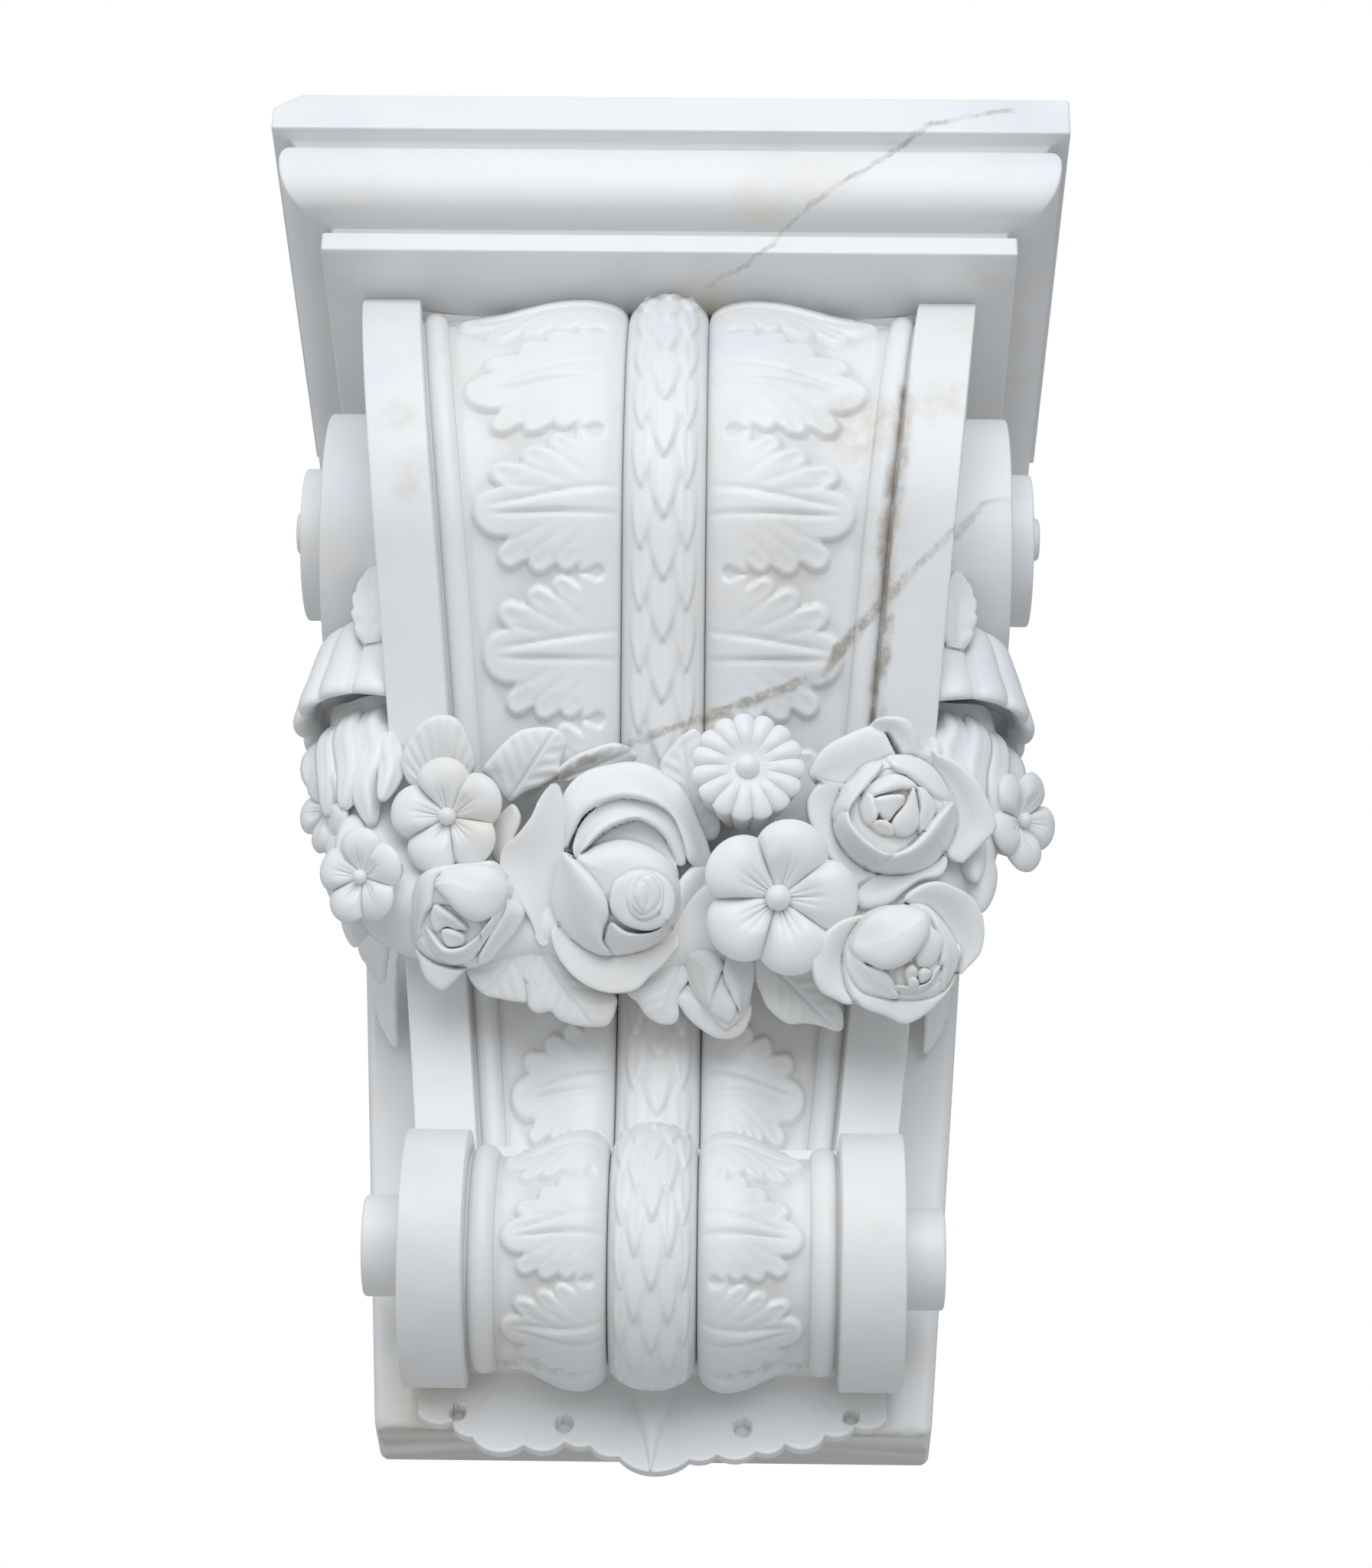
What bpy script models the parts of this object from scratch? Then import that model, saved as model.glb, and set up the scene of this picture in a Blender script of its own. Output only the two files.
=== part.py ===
"""A carved marble corbel: moulded abacus, scrolled bracket with laurel and acanthus, garland, back plate.

Metres, +Z up. X runs along the wall, the wall face is the plane Y = 0 and the front faces -Y.
The whole corbel is cut from one block, so it is one solid, "corbel".
"""
import math

import bpy
import numpy as np

for old in list(bpy.data.objects):
    bpy.data.objects.remove(old, do_unlink=True)

# The abacus: a flat slab over a half round, a cove and a bed strip, returned along both sides.
SLAB_WIDTH = 0.440
SLAB_DEPTH = 0.295
SLAB_HEIGHT = 0.025
SLAB_UNDERSIDE_Z = 0.333
QUIRK_INSET = 0.009
QUIRK_HEIGHT = 0.006
HALF_ROUND_INSET = 0.005
HALF_ROUND_HEIGHT = 0.037
HALF_ROUND_BULGE = 0.85
COVE_INSET = 0.034
COVE_HEIGHT = 0.007
BED_INSET = 0.029
BED_HEIGHT = 0.0125
LEDGE_SLOPE = 0.0004
CHIP_ALONG_FRONT = 0.017
CHIP_ALONG_SIDE = 0.020
CHIP_DOWN = 0.013

# The back plate narrows downwards.
PLATE_THICKNESS = 0.0413
PLATE_BELOW_ROLL = 0.0028
PLATE_BOTTOM_HALF_WIDTH = 0.1429
PLATE_TAPER = 0.0758
PLATE_CORNER = 0.006
PLATE_INTO_ABACUS = 0.0055

# The bracket's side outline: a large scroll, a straight fall and a hollow that meets the lower roll.
SCROLL_RADIUS = 0.1311
SCROLL_Y = -0.1373
SCROLL_TOP_ANGLE = -52.0
SCROLL_INTO_ABACUS_ANGLE = 6.0
FALL_ANGLE = 38.0
FALL_LENGTH = 0.1584
HOLLOW_RADIUS = 0.220
HOLLOW_END_ANGLE = -14.0
BRACKET_TOP_HALF_WIDTH = 0.1707
BRACKET_TAPER = 0.098
ROLL_RADIUS = 0.0656
ROLL_BEHIND_HOLLOW = 0.0062
ROLL_UNDER_HOLLOW = 0.0348
ROLL_HALF_WIDTH = 0.1263
ROLL_START_ANGLE = -120.0
ROLL_END_ANGLE = 122.0
ROLL_CORE_INSET = 0.006

# The section across the bracket: flat outer bands, a bead, a hollow panel rising to the laurel rope.
BAND_WIDTH = 0.033
BEAD_WIDTH = 0.011
QUIRK_WIDTH = 0.0035
BEAD_RISE = 0.0065
PANEL_SINK = 0.0135
SWELL_TOP = 0.0020
GROOVE_SINK = 0.0130
ROPE_HALF_WIDTH = 0.0228
ROPE_PROUD = 0.0030
ROPE_EDGE_BURIED = 0.0010

# The laurel rope: rows of pointed leaves, one in the middle and one each side.
LAUREL_PITCH = 0.0324
LAUREL_LEAF_RISE = 0.0028
LAUREL_TIP_STEP = 0.0022
LAUREL_TIP_DROP = 0.0006
ROPE_FOOT = 0.004
ROLL_ROPE_START_ANGLE = -102.0
ROLL_ROPE_END_ANGLE = 100.0
# Across the rope, and how far down its leaf's edge lies there, in pitches.
ROPE_COLUMNS = (
    (-1.0, 0.10), (-0.78, 0.40), (-0.36, -0.15), (0.0, 0.50), (0.36, -0.15), (0.78, 0.40), (1.0, 0.10),
)

# The half leaves of acanthus on the panels, the first five above the garland and one below it.
ACANTHUS_LEAF = 0.0740
ACANTHUS_STEP = 0.0764
ACANTHUS_FIRST = 0.0275
ACANTHUS_ABOVE_GARLAND = 5
ACANTHUS_LAST_FROM_END = 0.069
ACANTHUS_RISE = 0.0042
ROLL_LEAF = 0.0595
ROLL_LEAF_FIRST_ANGLE = -42.0
ROLL_LEAVES = 3

# The scrolls at the sides step outwards as they wind in: two turns of a spiral, then a button.
SPIRAL_RADIUS = 0.0992
SPIRAL_RATIO = 0.54
SPIRAL_STEPS = (0.0270, 0.0415)
SPIRAL_BUTTON_RADIUS = 0.0119
SPIRAL_BUTTON_PROUD = 0.0470
ROLL_EYE_RADIUS = 0.0257
ROLL_EYE_PROUD = 0.0210
ROLL_EYE_FORWARD = 0.0062
ROLL_EYE_UP = 0.0036
RIGHT_EYE_DROP = 0.0045

# The leaf under the lower roll.
FOOT_LEAF_HALF_WIDTH = 0.1200
FOOT_LEAF_UNDER_ROLL = 0.0454
FOOT_LEAF_DROP = 0.0600
FOOT_LEAF_BEFORE_PLATE = 0.0147
FOOT_LEAF_CURL = 0.0130
FOOT_LEAF_THICKNESS = 0.012
FOOT_LEAF_LOBES = 11

# The shapes are cut this far past the wall face, then the back is sawn off flat at Y = 0.
BEHIND = 0.008

# The fluted cups at the top of the garland's ends, and a leaf's section from edge to edge.
CUP_FLUTES = 9
BLADE_SECTION = ((-1, 0.0), (-0.4, 1.0), (0, 0.4), (0.4, 1.0), (1, 0.0))

# Neighbouring facets that lie within this many degrees of one plane are made one.
FLAT_ANGLE = 11.0
# Edges sharper than this many degrees show as edges, and the rest is shaded round.
SHARP_ANGLE = 30.0

MARBLE_COLOUR = (0.86, 0.86, 0.85, 1.0)
MARBLE_ROUGHNESS = 0.42

# Heights that follow from the sizes above.
SLAB_TOP_Z = SLAB_UNDERSIDE_Z + SLAB_HEIGHT
BED_BOTTOM_Z = SLAB_UNDERSIDE_Z - QUIRK_HEIGHT - HALF_ROUND_HEIGHT - COVE_HEIGHT - BED_HEIGHT
BRACKET_TOP_Z = BED_BOTTOM_Z + 0.0022
SCROLL_Z = BRACKET_TOP_Z + 0.0030 + SCROLL_RADIUS * math.sin(math.radians(SCROLL_TOP_ANGLE))

carved = []


def unit(v):
    v = np.asarray(v, float)
    return v / np.linalg.norm(v)


def solid(name, points, faces):
    """A mesh object of triangles from points and faces, the faces turned to look outwards."""
    faces = [(f[0], f[i], f[i + 1]) for f in faces for i in range(1, len(f) - 1)]
    mesh = bpy.data.meshes.new(name)
    mesh.from_pydata([tuple(float(c) for c in p) for p in points], [], [tuple(f) for f in faces])
    mesh.update()
    mesh.shade_smooth()
    mesh.set_sharp_from_angle(angle=math.radians(SHARP_ANGLE))
    mesh.calc_loop_triangles()
    corners = np.array([[mesh.vertices[i].co[:] for i in t.vertices] for t in mesh.loop_triangles])
    if np.linalg.det(corners).sum() < 0:
        mesh.flip_normals()
    obj = bpy.data.objects.new(name, mesh)
    bpy.context.scene.collection.objects.link(obj)
    return obj


def carve(name, points, faces):
    """A shape that the block's union takes in."""
    obj = solid(name, points, faces)
    carved.append(obj)
    return obj


def loft(rings):
    """Closed rings of equal length joined in order, each end closed by a fan about its middle."""
    rings = [np.asarray(r, float) for r in rings]
    n = len(rings[0])
    points = [p for ring in rings for p in ring]
    faces = []
    for k in range(len(rings) - 1):
        for i in range(n):
            j = (i + 1) % n
            faces.append((k * n + i, k * n + j, (k + 1) * n + j, (k + 1) * n + i))
    for k, flip in ((0, True), (len(rings) - 1, False)):
        middle = len(points)
        points.append(rings[k].mean(axis=0))
        for i in range(n):
            j = (i + 1) % n
            a, b = k * n + i, k * n + j
            faces.append((middle, b, a) if flip else (middle, a, b))
    return points, faces


# The side outline as points with their outward direction, and how far each lies along it.
def bracket_outline():
    """Y, Z and outward direction of the band face, from a little way inside the abacus down to the roll."""
    rows = []
    for angle in (SCROLL_TOP_ANGLE - SCROLL_INTO_ABACUS_ANGLE, *np.linspace(SCROLL_TOP_ANGLE, FALL_ANGLE, 10)):
        c, s = math.cos(math.radians(angle)), math.sin(math.radians(angle))
        rows.append((SCROLL_Y - SCROLL_RADIUS * c, SCROLL_Z - SCROLL_RADIUS * s, -c, -s))
    c, s = math.cos(math.radians(FALL_ANGLE)), math.sin(math.radians(FALL_ANGLE))
    y0, z0 = rows[-1][0], rows[-1][1]
    for share in (0.33, 0.66, 1.0):
        rows.append((y0 + s * FALL_LENGTH * share, z0 - c * FALL_LENGTH * share, -c, -s))
    y1, z1 = rows[-1][0] - HOLLOW_RADIUS * c, rows[-1][1] - HOLLOW_RADIUS * s
    for angle in np.linspace(FALL_ANGLE, HOLLOW_END_ANGLE, 8)[1:]:
        c, s = math.cos(math.radians(angle)), math.sin(math.radians(angle))
        rows.append((y1 + HOLLOW_RADIUS * c, z1 + HOLLOW_RADIUS * s, -c, -s))
    return np.array(rows)


OUTLINE = bracket_outline()
STRETCHES = np.hypot(*np.diff(OUTLINE[:, :2], axis=0).T)
# Distances down the face are counted from the abacus, so the stretch inside it is negative.
ALONG = np.concatenate([[0.0], np.cumsum(STRETCHES)]) - STRETCHES[0]
OUTLINE_START, OUTLINE_LENGTH = ALONG[0], ALONG[-1]
FALL_END = math.radians(FALL_ANGLE - SCROLL_TOP_ANGLE) * SCROLL_RADIUS + FALL_LENGTH

# The lower roll ends the hollow, and the plate and the foot leaf end below the roll.
ROLL_Y = OUTLINE[-1][0] + ROLL_BEHIND_HOLLOW
ROLL_Z = OUTLINE[-1][1] - ROLL_UNDER_HOLLOW
PLATE_BOTTOM_Z = ROLL_Z - ROLL_RADIUS - PLATE_BELOW_ROLL
FOOT_LEAF_Y = -PLATE_THICKNESS - FOOT_LEAF_BEFORE_PLATE
FOOT_LEAF_TOP_Z = ROLL_Z - FOOT_LEAF_UNDER_ROLL


def station(s):
    """Y, Z and outward direction at the distance s along the bracket's face."""
    row = [np.interp(s, ALONG, OUTLINE[:, i]) for i in range(4)]
    length = math.hypot(row[2], row[3])
    return row[0], row[1], row[2] / length, row[3] / length


def half_width(z):
    return BRACKET_TOP_HALF_WIDTH - BRACKET_TAPER * (BRACKET_TOP_Z - z)


def section_sink(x, half):
    """How far the face lies under the band's face, at the distance x from the middle."""
    x = abs(x)
    panel_out = half - BAND_WIDTH - QUIRK_WIDTH - BEAD_WIDTH
    if x >= half - BAND_WIDTH:
        return 0.0
    if x >= panel_out + BEAD_WIDTH:
        return PANEL_SINK
    if x >= panel_out:
        t = (x - panel_out) / BEAD_WIDTH * 2 - 1
        return PANEL_SINK - BEAD_RISE * math.sqrt(max(0.0, 1 - t * t))
    if x <= ROPE_HALF_WIDTH:
        return GROOVE_SINK
    q = (x - ROPE_HALF_WIDTH) / (panel_out - ROPE_HALF_WIDTH)
    rise = (PANEL_SINK - SWELL_TOP) * 0.5 * (1 + math.cos(math.pi * min(1.0, q / 0.72)))
    edge = min(1.0, q / 0.09)
    return PANEL_SINK - rise * math.sqrt(1 - (1 - edge) ** 2)


LEAF_SHARES = (0.07, 0.19, 0.31, 0.42, 0.53, 0.64, 0.75, 0.86, 0.97)
LEAF_EDGE_FLAT = 0.0042
LEAF_ROW_STEP = 0.19


def leaf_half_breadth(a):
    """The scalloped outline of an acanthus half leaf: half its breadth, as a share of its size."""
    envelope = 0.50 * max(0.0, 1 - a ** 2.2) ** 0.62 * min(1.0, 0.62 + 1.6 * a)
    return envelope * (0.84, 1.0)[LEAF_SHARES.index(a) % 2] + 0.012


def face_places(half):
    """Distances from the middle where the face is cut into flats, each with the leaf's share there."""
    panel_out = half - BAND_WIDTH - QUIRK_WIDTH - BEAD_WIDTH
    span = panel_out - ROPE_HALF_WIDTH
    places = [(0.0, None), (ROPE_HALF_WIDTH, None)]
    places += [(ROPE_HALF_WIDTH + span * a, a) for a in LEAF_SHARES]
    places += [(panel_out + BEAD_WIDTH * t, None) for t in (0.02, 0.4, 0.98)]
    places += [(half - BAND_WIDTH - 0.0006, None), (half - BAND_WIDTH, None), (half, None)]
    return places


def face_rings(station_at, half_at, start, end, middles, leaf, plain, back_at):
    """Rings down a run of the face. Each leaf takes five: its two outlines, its two crests and its midrib."""
    lines = [(s, None, 0) for s in plain]
    for middle in middles:
        lines += [(middle, middle, row) for row in (-2, -1, 0, 1, 2)]
    lines.sort(key=lambda line: (line[0], line[2]))
    rings = []
    for s0, middle, row in lines:
        nominal = s0 + row * leaf * LEAF_ROW_STEP
        right = []
        for x_index, (_, share) in enumerate(face_places(half_at(station_at(nominal)[1]))):
            here, rise = nominal, 0.0
            if middle is not None and share is not None:
                edge = leaf_half_breadth(share) * leaf
                crest = max(0.78 * edge, edge - LEAF_EDGE_FLAT)
                here = middle + (0, crest, edge)[abs(row)] * (row > 0 or -1)
                crest_height = (0.75, 1.15)[LEAF_SHARES.index(share) % 2]
                rise = ACANTHUS_RISE * (1.10, crest_height, 0.0)[abs(row)]
                if share > 0.9:
                    rise *= 0.75
            here = min(max(here, start), end)
            y, z, oy, oz = station_at(here)
            half = half_at(z)
            x = face_places(half)[x_index][0]
            up = rise - section_sink(x, half)
            right.append((x, y + oy * up, z + oz * up))
        left = [(-x, y, z) for x, y, z in reversed(right[1:])]
        edge_x, edge_y, edge_z = right[-1]
        back_y, back_z = back_at(edge_y, edge_z)
        rings.append(left + right + [(edge_x, back_y, back_z), (-edge_x, back_y, back_z)])
    return rings


def build_bracket():
    """The console: leaf panels down the scroll, the fall and the hollow, solid back to the plate."""
    length = OUTLINE_LENGTH
    middles = [ACANTHUS_FIRST + ACANTHUS_STEP * k for k in range(ACANTHUS_ABOVE_GARLAND)]
    last = length - ACANTHUS_LAST_FROM_END
    behind_garland = np.linspace(middles[-1] + ACANTHUS_LEAF / 2, last - ACANTHUS_LEAF * 0.75, 4)
    middles.append(last)
    rings = face_rings(
        station, half_width, OUTLINE_START, length, middles, ACANTHUS_LEAF,
        (OUTLINE_START, *behind_garland, length), lambda y, z: (-PLATE_THICKNESS * 0.3, z),
    )
    carve("bracket", *loft(rings))


def roll_station(angle):
    """Y, Z and outward direction round the lower roll, 0 facing forwards and 90 facing down."""
    c, s = math.cos(math.radians(angle)), math.sin(math.radians(angle))
    return ROLL_Y - ROLL_RADIUS * c, ROLL_Z - ROLL_RADIUS * s, -c, -s


def build_roll():
    """The lower roll, carved like the bracket's face, with a solid middle that ties it to the plate."""
    def round_roll(s):
        return roll_station(math.degrees(s / ROLL_RADIUS))

    def along(angle):
        return math.radians(angle) * ROLL_RADIUS

    def towards_axis(y, z):
        return ROLL_Y + 0.010 + 0.1 * (y - ROLL_Y), ROLL_Z + 0.1 * (z - ROLL_Z)

    start, end = along(ROLL_START_ANGLE), along(ROLL_END_ANGLE)
    middles = [along(ROLL_LEAF_FIRST_ANGLE) + ROLL_LEAF * k for k in range(ROLL_LEAVES)]
    plain = [start, along(-95), along(-75), along(94), along(108), end]
    rings = face_rings(
        round_roll, lambda z: ROLL_HALF_WIDTH, start, end, middles, ROLL_LEAF, plain, towards_axis,
    )
    carve("roll", *loft(rings))
    half = ROLL_HALF_WIDTH - ROLL_CORE_INSET
    core_front, core_back = ROLL_Y - 0.0152, -PLATE_THICKNESS * 0.3
    core_bottom, core_top = ROLL_Z - 0.0474, ROLL_Z + 0.0566
    carve("roll_core", *box(half, core_front, core_back, core_bottom, core_top))


def box(half, y0, y1, z0, z1):
    """A plain block, as wide on both sides of the middle."""
    ring = [(-half, y0), (half, y0), (half, y1), (-half, y1)]
    return loft([[(x, y, z) for x, y in ring] for z in (z0, z1)])


def build_plate():
    """The tapering slab against the wall, its front corners lightly rounded off."""
    rings = []
    for z in (PLATE_BOTTOM_Z, BED_BOTTOM_Z + PLATE_INTO_ABACUS):
        half = PLATE_BOTTOM_HALF_WIDTH + PLATE_TAPER * (z - PLATE_BOTTOM_Z)
        front = -PLATE_THICKNESS
        shoulder = half - PLATE_CORNER * 0.7
        rings.append([
            (-half, BEHIND, z), (-half, front + PLATE_CORNER, z), (-shoulder, front, z),
            (shoulder, front, z), (half, front + PLATE_CORNER, z), (half, BEHIND, z),
        ])
    carve("plate", *loft(rings))


def build_abacus():
    """The moulded cap: one profile carried along the front and both sides, with mitred corners."""
    rows = [
        (0.0, SLAB_TOP_Z), (0.0, SLAB_UNDERSIDE_Z), (QUIRK_INSET, SLAB_UNDERSIDE_Z - LEDGE_SLOPE),
    ]
    round_top = SLAB_UNDERSIDE_Z - QUIRK_HEIGHT
    rows.append((QUIRK_INSET + 0.002, round_top + LEDGE_SLOPE))
    radius = HALF_ROUND_HEIGHT / 2
    for angle in np.radians(np.linspace(75, -90, 7)):
        inset = HALF_ROUND_INSET + radius * HALF_ROUND_BULGE * (1 - math.cos(angle))
        rows.append((inset, round_top - radius * (1 - math.sin(angle))))
    round_bottom = round_top - HALF_ROUND_HEIGHT
    cove_bottom = round_bottom - COVE_HEIGHT
    rows += [(COVE_INSET, round_bottom - 0.001), (COVE_INSET, cove_bottom)]
    rows += [(BED_INSET, cove_bottom - LEDGE_SLOPE), (BED_INSET, BED_BOTTOM_Z)]
    rings = []
    for inset, z in rows:
        half, front, back = SLAB_WIDTH / 2 - inset, -SLAB_DEPTH + inset, BEHIND * 1.5
        rings.append([(-half, back, z), (-half, front, z), (half, front, z), (half, back, z)])
    carve("abacus", *loft(rings))


def chip_cutter():
    """The broken corner: rough planes across the slab's front left top corner, run out past the slab."""
    x, y, z = -SLAB_WIDTH / 2, -SLAB_DEPTH, SLAB_TOP_Z
    past = 0.02
    front = [
        (CHIP_ALONG_FRONT, past), (CHIP_ALONG_FRONT * 1.05, -CHIP_DOWN * 0.30),
        (-0.001, -CHIP_DOWN * 1.05), (-past, -CHIP_DOWN * 1.1), (-past, past),
    ]
    side = [
        (CHIP_ALONG_FRONT * 0.1, past), (CHIP_ALONG_FRONT * 0.1, -CHIP_DOWN * 0.10),
        (-0.002, -CHIP_DOWN * 0.50), (-past, -CHIP_DOWN * 0.8), (-past, past),
    ]
    rings = [[(x + a, y - past, z + b) for a, b in front]]
    rings.append([(x + a, y + CHIP_ALONG_SIDE, z + b) for a, b in side])
    return solid("chip_cutter", *loft(rings))


def rope_strip(name, places, station_at, start, end):
    """The laurel rope along a run of places: saw-toothed rows of pointed leaves over a rounded rope."""
    rings = []
    rope_base = GROOVE_SINK + ROPE_EDGE_BURIED
    for s, rise in places:
        ring = []
        for across, shift in ROPE_COLUMNS:
            y, z, oy, oz = station_at(min(max(s + shift * LAUREL_PITCH, start), end))
            top = -rope_base + (rope_base + ROPE_PROUD) * math.sqrt(max(0.0, 1 - across * across))
            top += rise * (1 - 0.75 * abs(across))
            ring.append((across * ROPE_HALF_WIDTH * 0.985, y + oy * top, z + oz * top))
        y, z, oy, oz = station_at(s)
        sink = GROOVE_SINK + ROPE_FOOT
        for across in (0.9, -0.9):
            ring.append((across * ROPE_HALF_WIDTH, y - oy * sink, z - oz * sink))
        rings.append(ring)
    carve(name, *loft(rings))


def laurel_rows(start, end):
    """Places for the rope's rings: each leaf swells to its tip, then drops back under the next."""
    rows = [(start, 0.0)]
    for k in range(int(end / LAUREL_PITCH)):
        s = (k + 0.5) * LAUREL_PITCH
        rows += [(s, LAUREL_LEAF_RISE), (s + LAUREL_TIP_STEP, -LAUREL_TIP_DROP)]
    rows.append((end, 0.0))
    return rows


def build_rope():
    """The laurel rope down the bracket, and again round the roll."""
    def round_roll(s):
        return roll_station(ROLL_ROPE_START_ANGLE + math.degrees(s / ROLL_RADIUS))

    rope_strip("rope", laurel_rows(OUTLINE_START, OUTLINE_LENGTH), station, OUTLINE_START, OUTLINE_LENGTH)
    roll_length = math.radians(ROLL_ROPE_END_ANGLE - ROLL_ROPE_START_ANGLE) * ROLL_RADIUS
    rope_strip("roll_rope", laurel_rows(0.0, roll_length), round_roll, 0.0, roll_length)


def turned(name, x0, x1, y, z, radii):
    """A block between two planes across X, its outline given by radii at even angles, from the back down."""
    rings = []
    for x in (x0, x1):
        ring = []
        for i, radius in enumerate(radii):
            angle = 2 * math.pi * i / len(radii)
            ring.append((x, y + radius * math.cos(angle), z - radius * math.sin(angle)))
        rings.append(ring)
    carve(name, *loft(rings))


def spiral_turn(turn, sides=30):
    """Radii of one turn of the side scroll: it winds in from the back, under, up the front and over."""
    return [SPIRAL_RADIUS * SPIRAL_RATIO ** (turn + i / sides) for i in range(sides)]


def build_scroll_sides():
    for side, word in ((-1, "left"), (1, "right")):
        half = half_width(SCROLL_Z)
        for turn, step in enumerate(SPIRAL_STEPS):
            inner, outer = side * half * 0.9, side * (half + step)
            turned(f"{word}_turn_{turn}", inner, outer, SCROLL_Y, SCROLL_Z, spiral_turn(turn))
        button = side * (half + SPIRAL_BUTTON_PROUD)
        turned(f"{word}_button", side * half, button, SCROLL_Y, SCROLL_Z, [SPIRAL_BUTTON_RADIUS] * 12)
        eye_z = ROLL_Z + ROLL_EYE_UP - (RIGHT_EYE_DROP if side > 0 else 0.0)
        eye = side * (ROLL_HALF_WIDTH + ROLL_EYE_PROUD)
        turned(
            f"{word}_roll_eye", side * ROLL_HALF_WIDTH * 0.8, eye, ROLL_Y - ROLL_EYE_FORWARD, eye_z,
            [ROLL_EYE_RADIUS] * 18,
        )


def frame_of(normal, up):
    n = unit(normal)
    u = np.asarray(up, float)
    u = unit(u - n * u.dot(n))
    return np.cross(u, n), u, n


def polar(name, centre, normal, rings, turn=0.0, up=(0, 0, 1)):
    """A closed round shape: rings of (radii, heights) about a middle, from the foot to the top."""
    right, up_dir, n = frame_of(normal, up)
    centre = np.asarray(centre, float)
    out = []
    for radii, heights in rings:
        ring = []
        for i, (r, h) in enumerate(zip(radii, heights)):
            a = 2 * math.pi * i / len(radii) + turn
            ring.append(centre + right * (r * math.cos(a)) + up_dir * (r * math.sin(a)) + n * h)
        out.append(ring)
    carve(name, *loft(out))


def flower(name, centre, normal, radius, petals=5, turn=0.0, ball=0.18, cup=0.30):
    """An open flower: heart-lobed petals round a small ball, on a foot that runs back into the garland."""
    lobes = (0, 1, 1) * petals
    count = len(lobes)
    edge = [radius * (0.74, 1.0)[lobe] for lobe in lobes]
    rim = [radius * (0.02, 0.11)[lobe] for lobe in lobes]
    swell = ([radius * (0.62, 0.70)[lobe] for lobe in lobes], [radius * (0.04, 0.27)[lobe] for lobe in lobes])
    throat = ([radius * 0.26] * count, [radius * (0.02, 0.10)[lobe] for lobe in lobes])
    foot = ([radius * 0.45] * count, [-radius * cup * 1.6] * count)
    under = ([r * 0.90 for r in edge], [h - radius * 0.16 for h in rim])
    polar(name, centre, normal, [foot, under, (edge, rim), swell, throat], turn)
    rings = []
    for angle in np.radians((-60, 0, 50)):
        height = radius * (0.12 + ball * 0.9 * math.sin(angle))
        rings.append(([radius * ball * math.cos(angle)] * 7, [height] * 7))
    polar(name + "_ball", centre, normal, rings, turn)


def rose(name, centre, normal, radius, turn=0.0, depth=0.55, core_shift=(0.0, 0.0), core=0.46):
    """A rose: an outer ring of curled petals, a deep hollow and a tight bud standing in it."""
    def petals(angle, number, size, phase=0.0):
        return 1 + size * abs(math.cos(number * (angle + phase) / 2)) ** 0.6 - size

    count = 15
    angles = [2 * math.pi * (i + 0.5) / count for i in range(count)]
    edge = [radius * petals(a, 5, 0.16) for a in angles]
    lift = [radius * petals(a, 5, 0.5) for a in angles]
    foot = ([radius * 0.55] * count, [-radius * depth] * count)
    under = ([r * 0.86 for r in edge], [-radius * 0.20] * count)
    rim = (edge, [radius * 0.02 + 0.06 * h for h in lift])
    curl = ([r * 0.88 for r in edge], [radius * 0.12 + 0.08 * h for h in lift])
    hollow = ([radius * 0.62] * count, [-radius * 0.06] * count)
    polar(name, centre, normal, [foot, under, rim, curl, hollow], turn)
    right, up_dir, _ = frame_of(normal, (0, 0, 1))
    middle = np.asarray(centre, float) + radius * (right * core_shift[0] + up_dir * core_shift[1])
    count = 10
    shell = radius * core
    lip = [shell * petals(2 * math.pi * i / count, 4, 0.10, 0.4) for i in range(count)]
    rings = [
        ([shell * 0.70] * count, [-radius * 0.25] * count),
        (lip, [radius * 0.06] * count),
        ([r * 0.80 for r in lip], [radius * 0.32] * count),
        ([shell * 0.58] * count, [radius * 0.20] * count),
        ([shell * 0.40] * count, [radius * 0.37] * count),
    ]
    polar(name + "_bud", middle, normal, rings, turn)


def blade(name, root, tip, normal, breadth, lobes=3, thickness=0.007, rise=0.004):
    """A leaf with a toothed edge and two swelling halves beside its midrib, from root to tip."""
    root, tip = np.asarray(root, float), np.asarray(tip, float)
    along = tip - root
    n = unit(normal)
    across = unit(np.cross(n, along))
    shares = [0.0]
    for k in range(lobes):
        shares += [(k + 0.55) / (lobes + 0.3), (k + 0.95) / (lobes + 0.3)]
    shares.append(1.0)
    rows = []
    for j, share in enumerate(shares):
        tooth = (0.80, 1.0)[j % 2]
        half = breadth * (math.sin(math.pi * (0.12 + 0.86 * share) ** 0.9) ** 0.7 * tooth + 0.02)
        middle = root + along * share
        row = [middle + across * half * side + n * rise * h for side, h in BLADE_SECTION]
        rows.append(row + [middle - n * thickness])
    carve(name, *loft(rows))


def berry(name, centre, radius, stretch=1.6, sides=6):
    """A bud or berry: a ball drawn out upright by the stretch."""
    rings = []
    for angle in np.radians((-70, -25, 25, 70)):
        r, z = radius * math.cos(angle), centre[2] + radius * math.sin(angle) * stretch
        ring = [2 * math.pi * k / sides for k in range(sides)]
        rings.append([(centre[0] + r * math.cos(a), centre[1] + r * math.sin(a), z) for a in ring])
    carve(name, *loft(rings))


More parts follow.
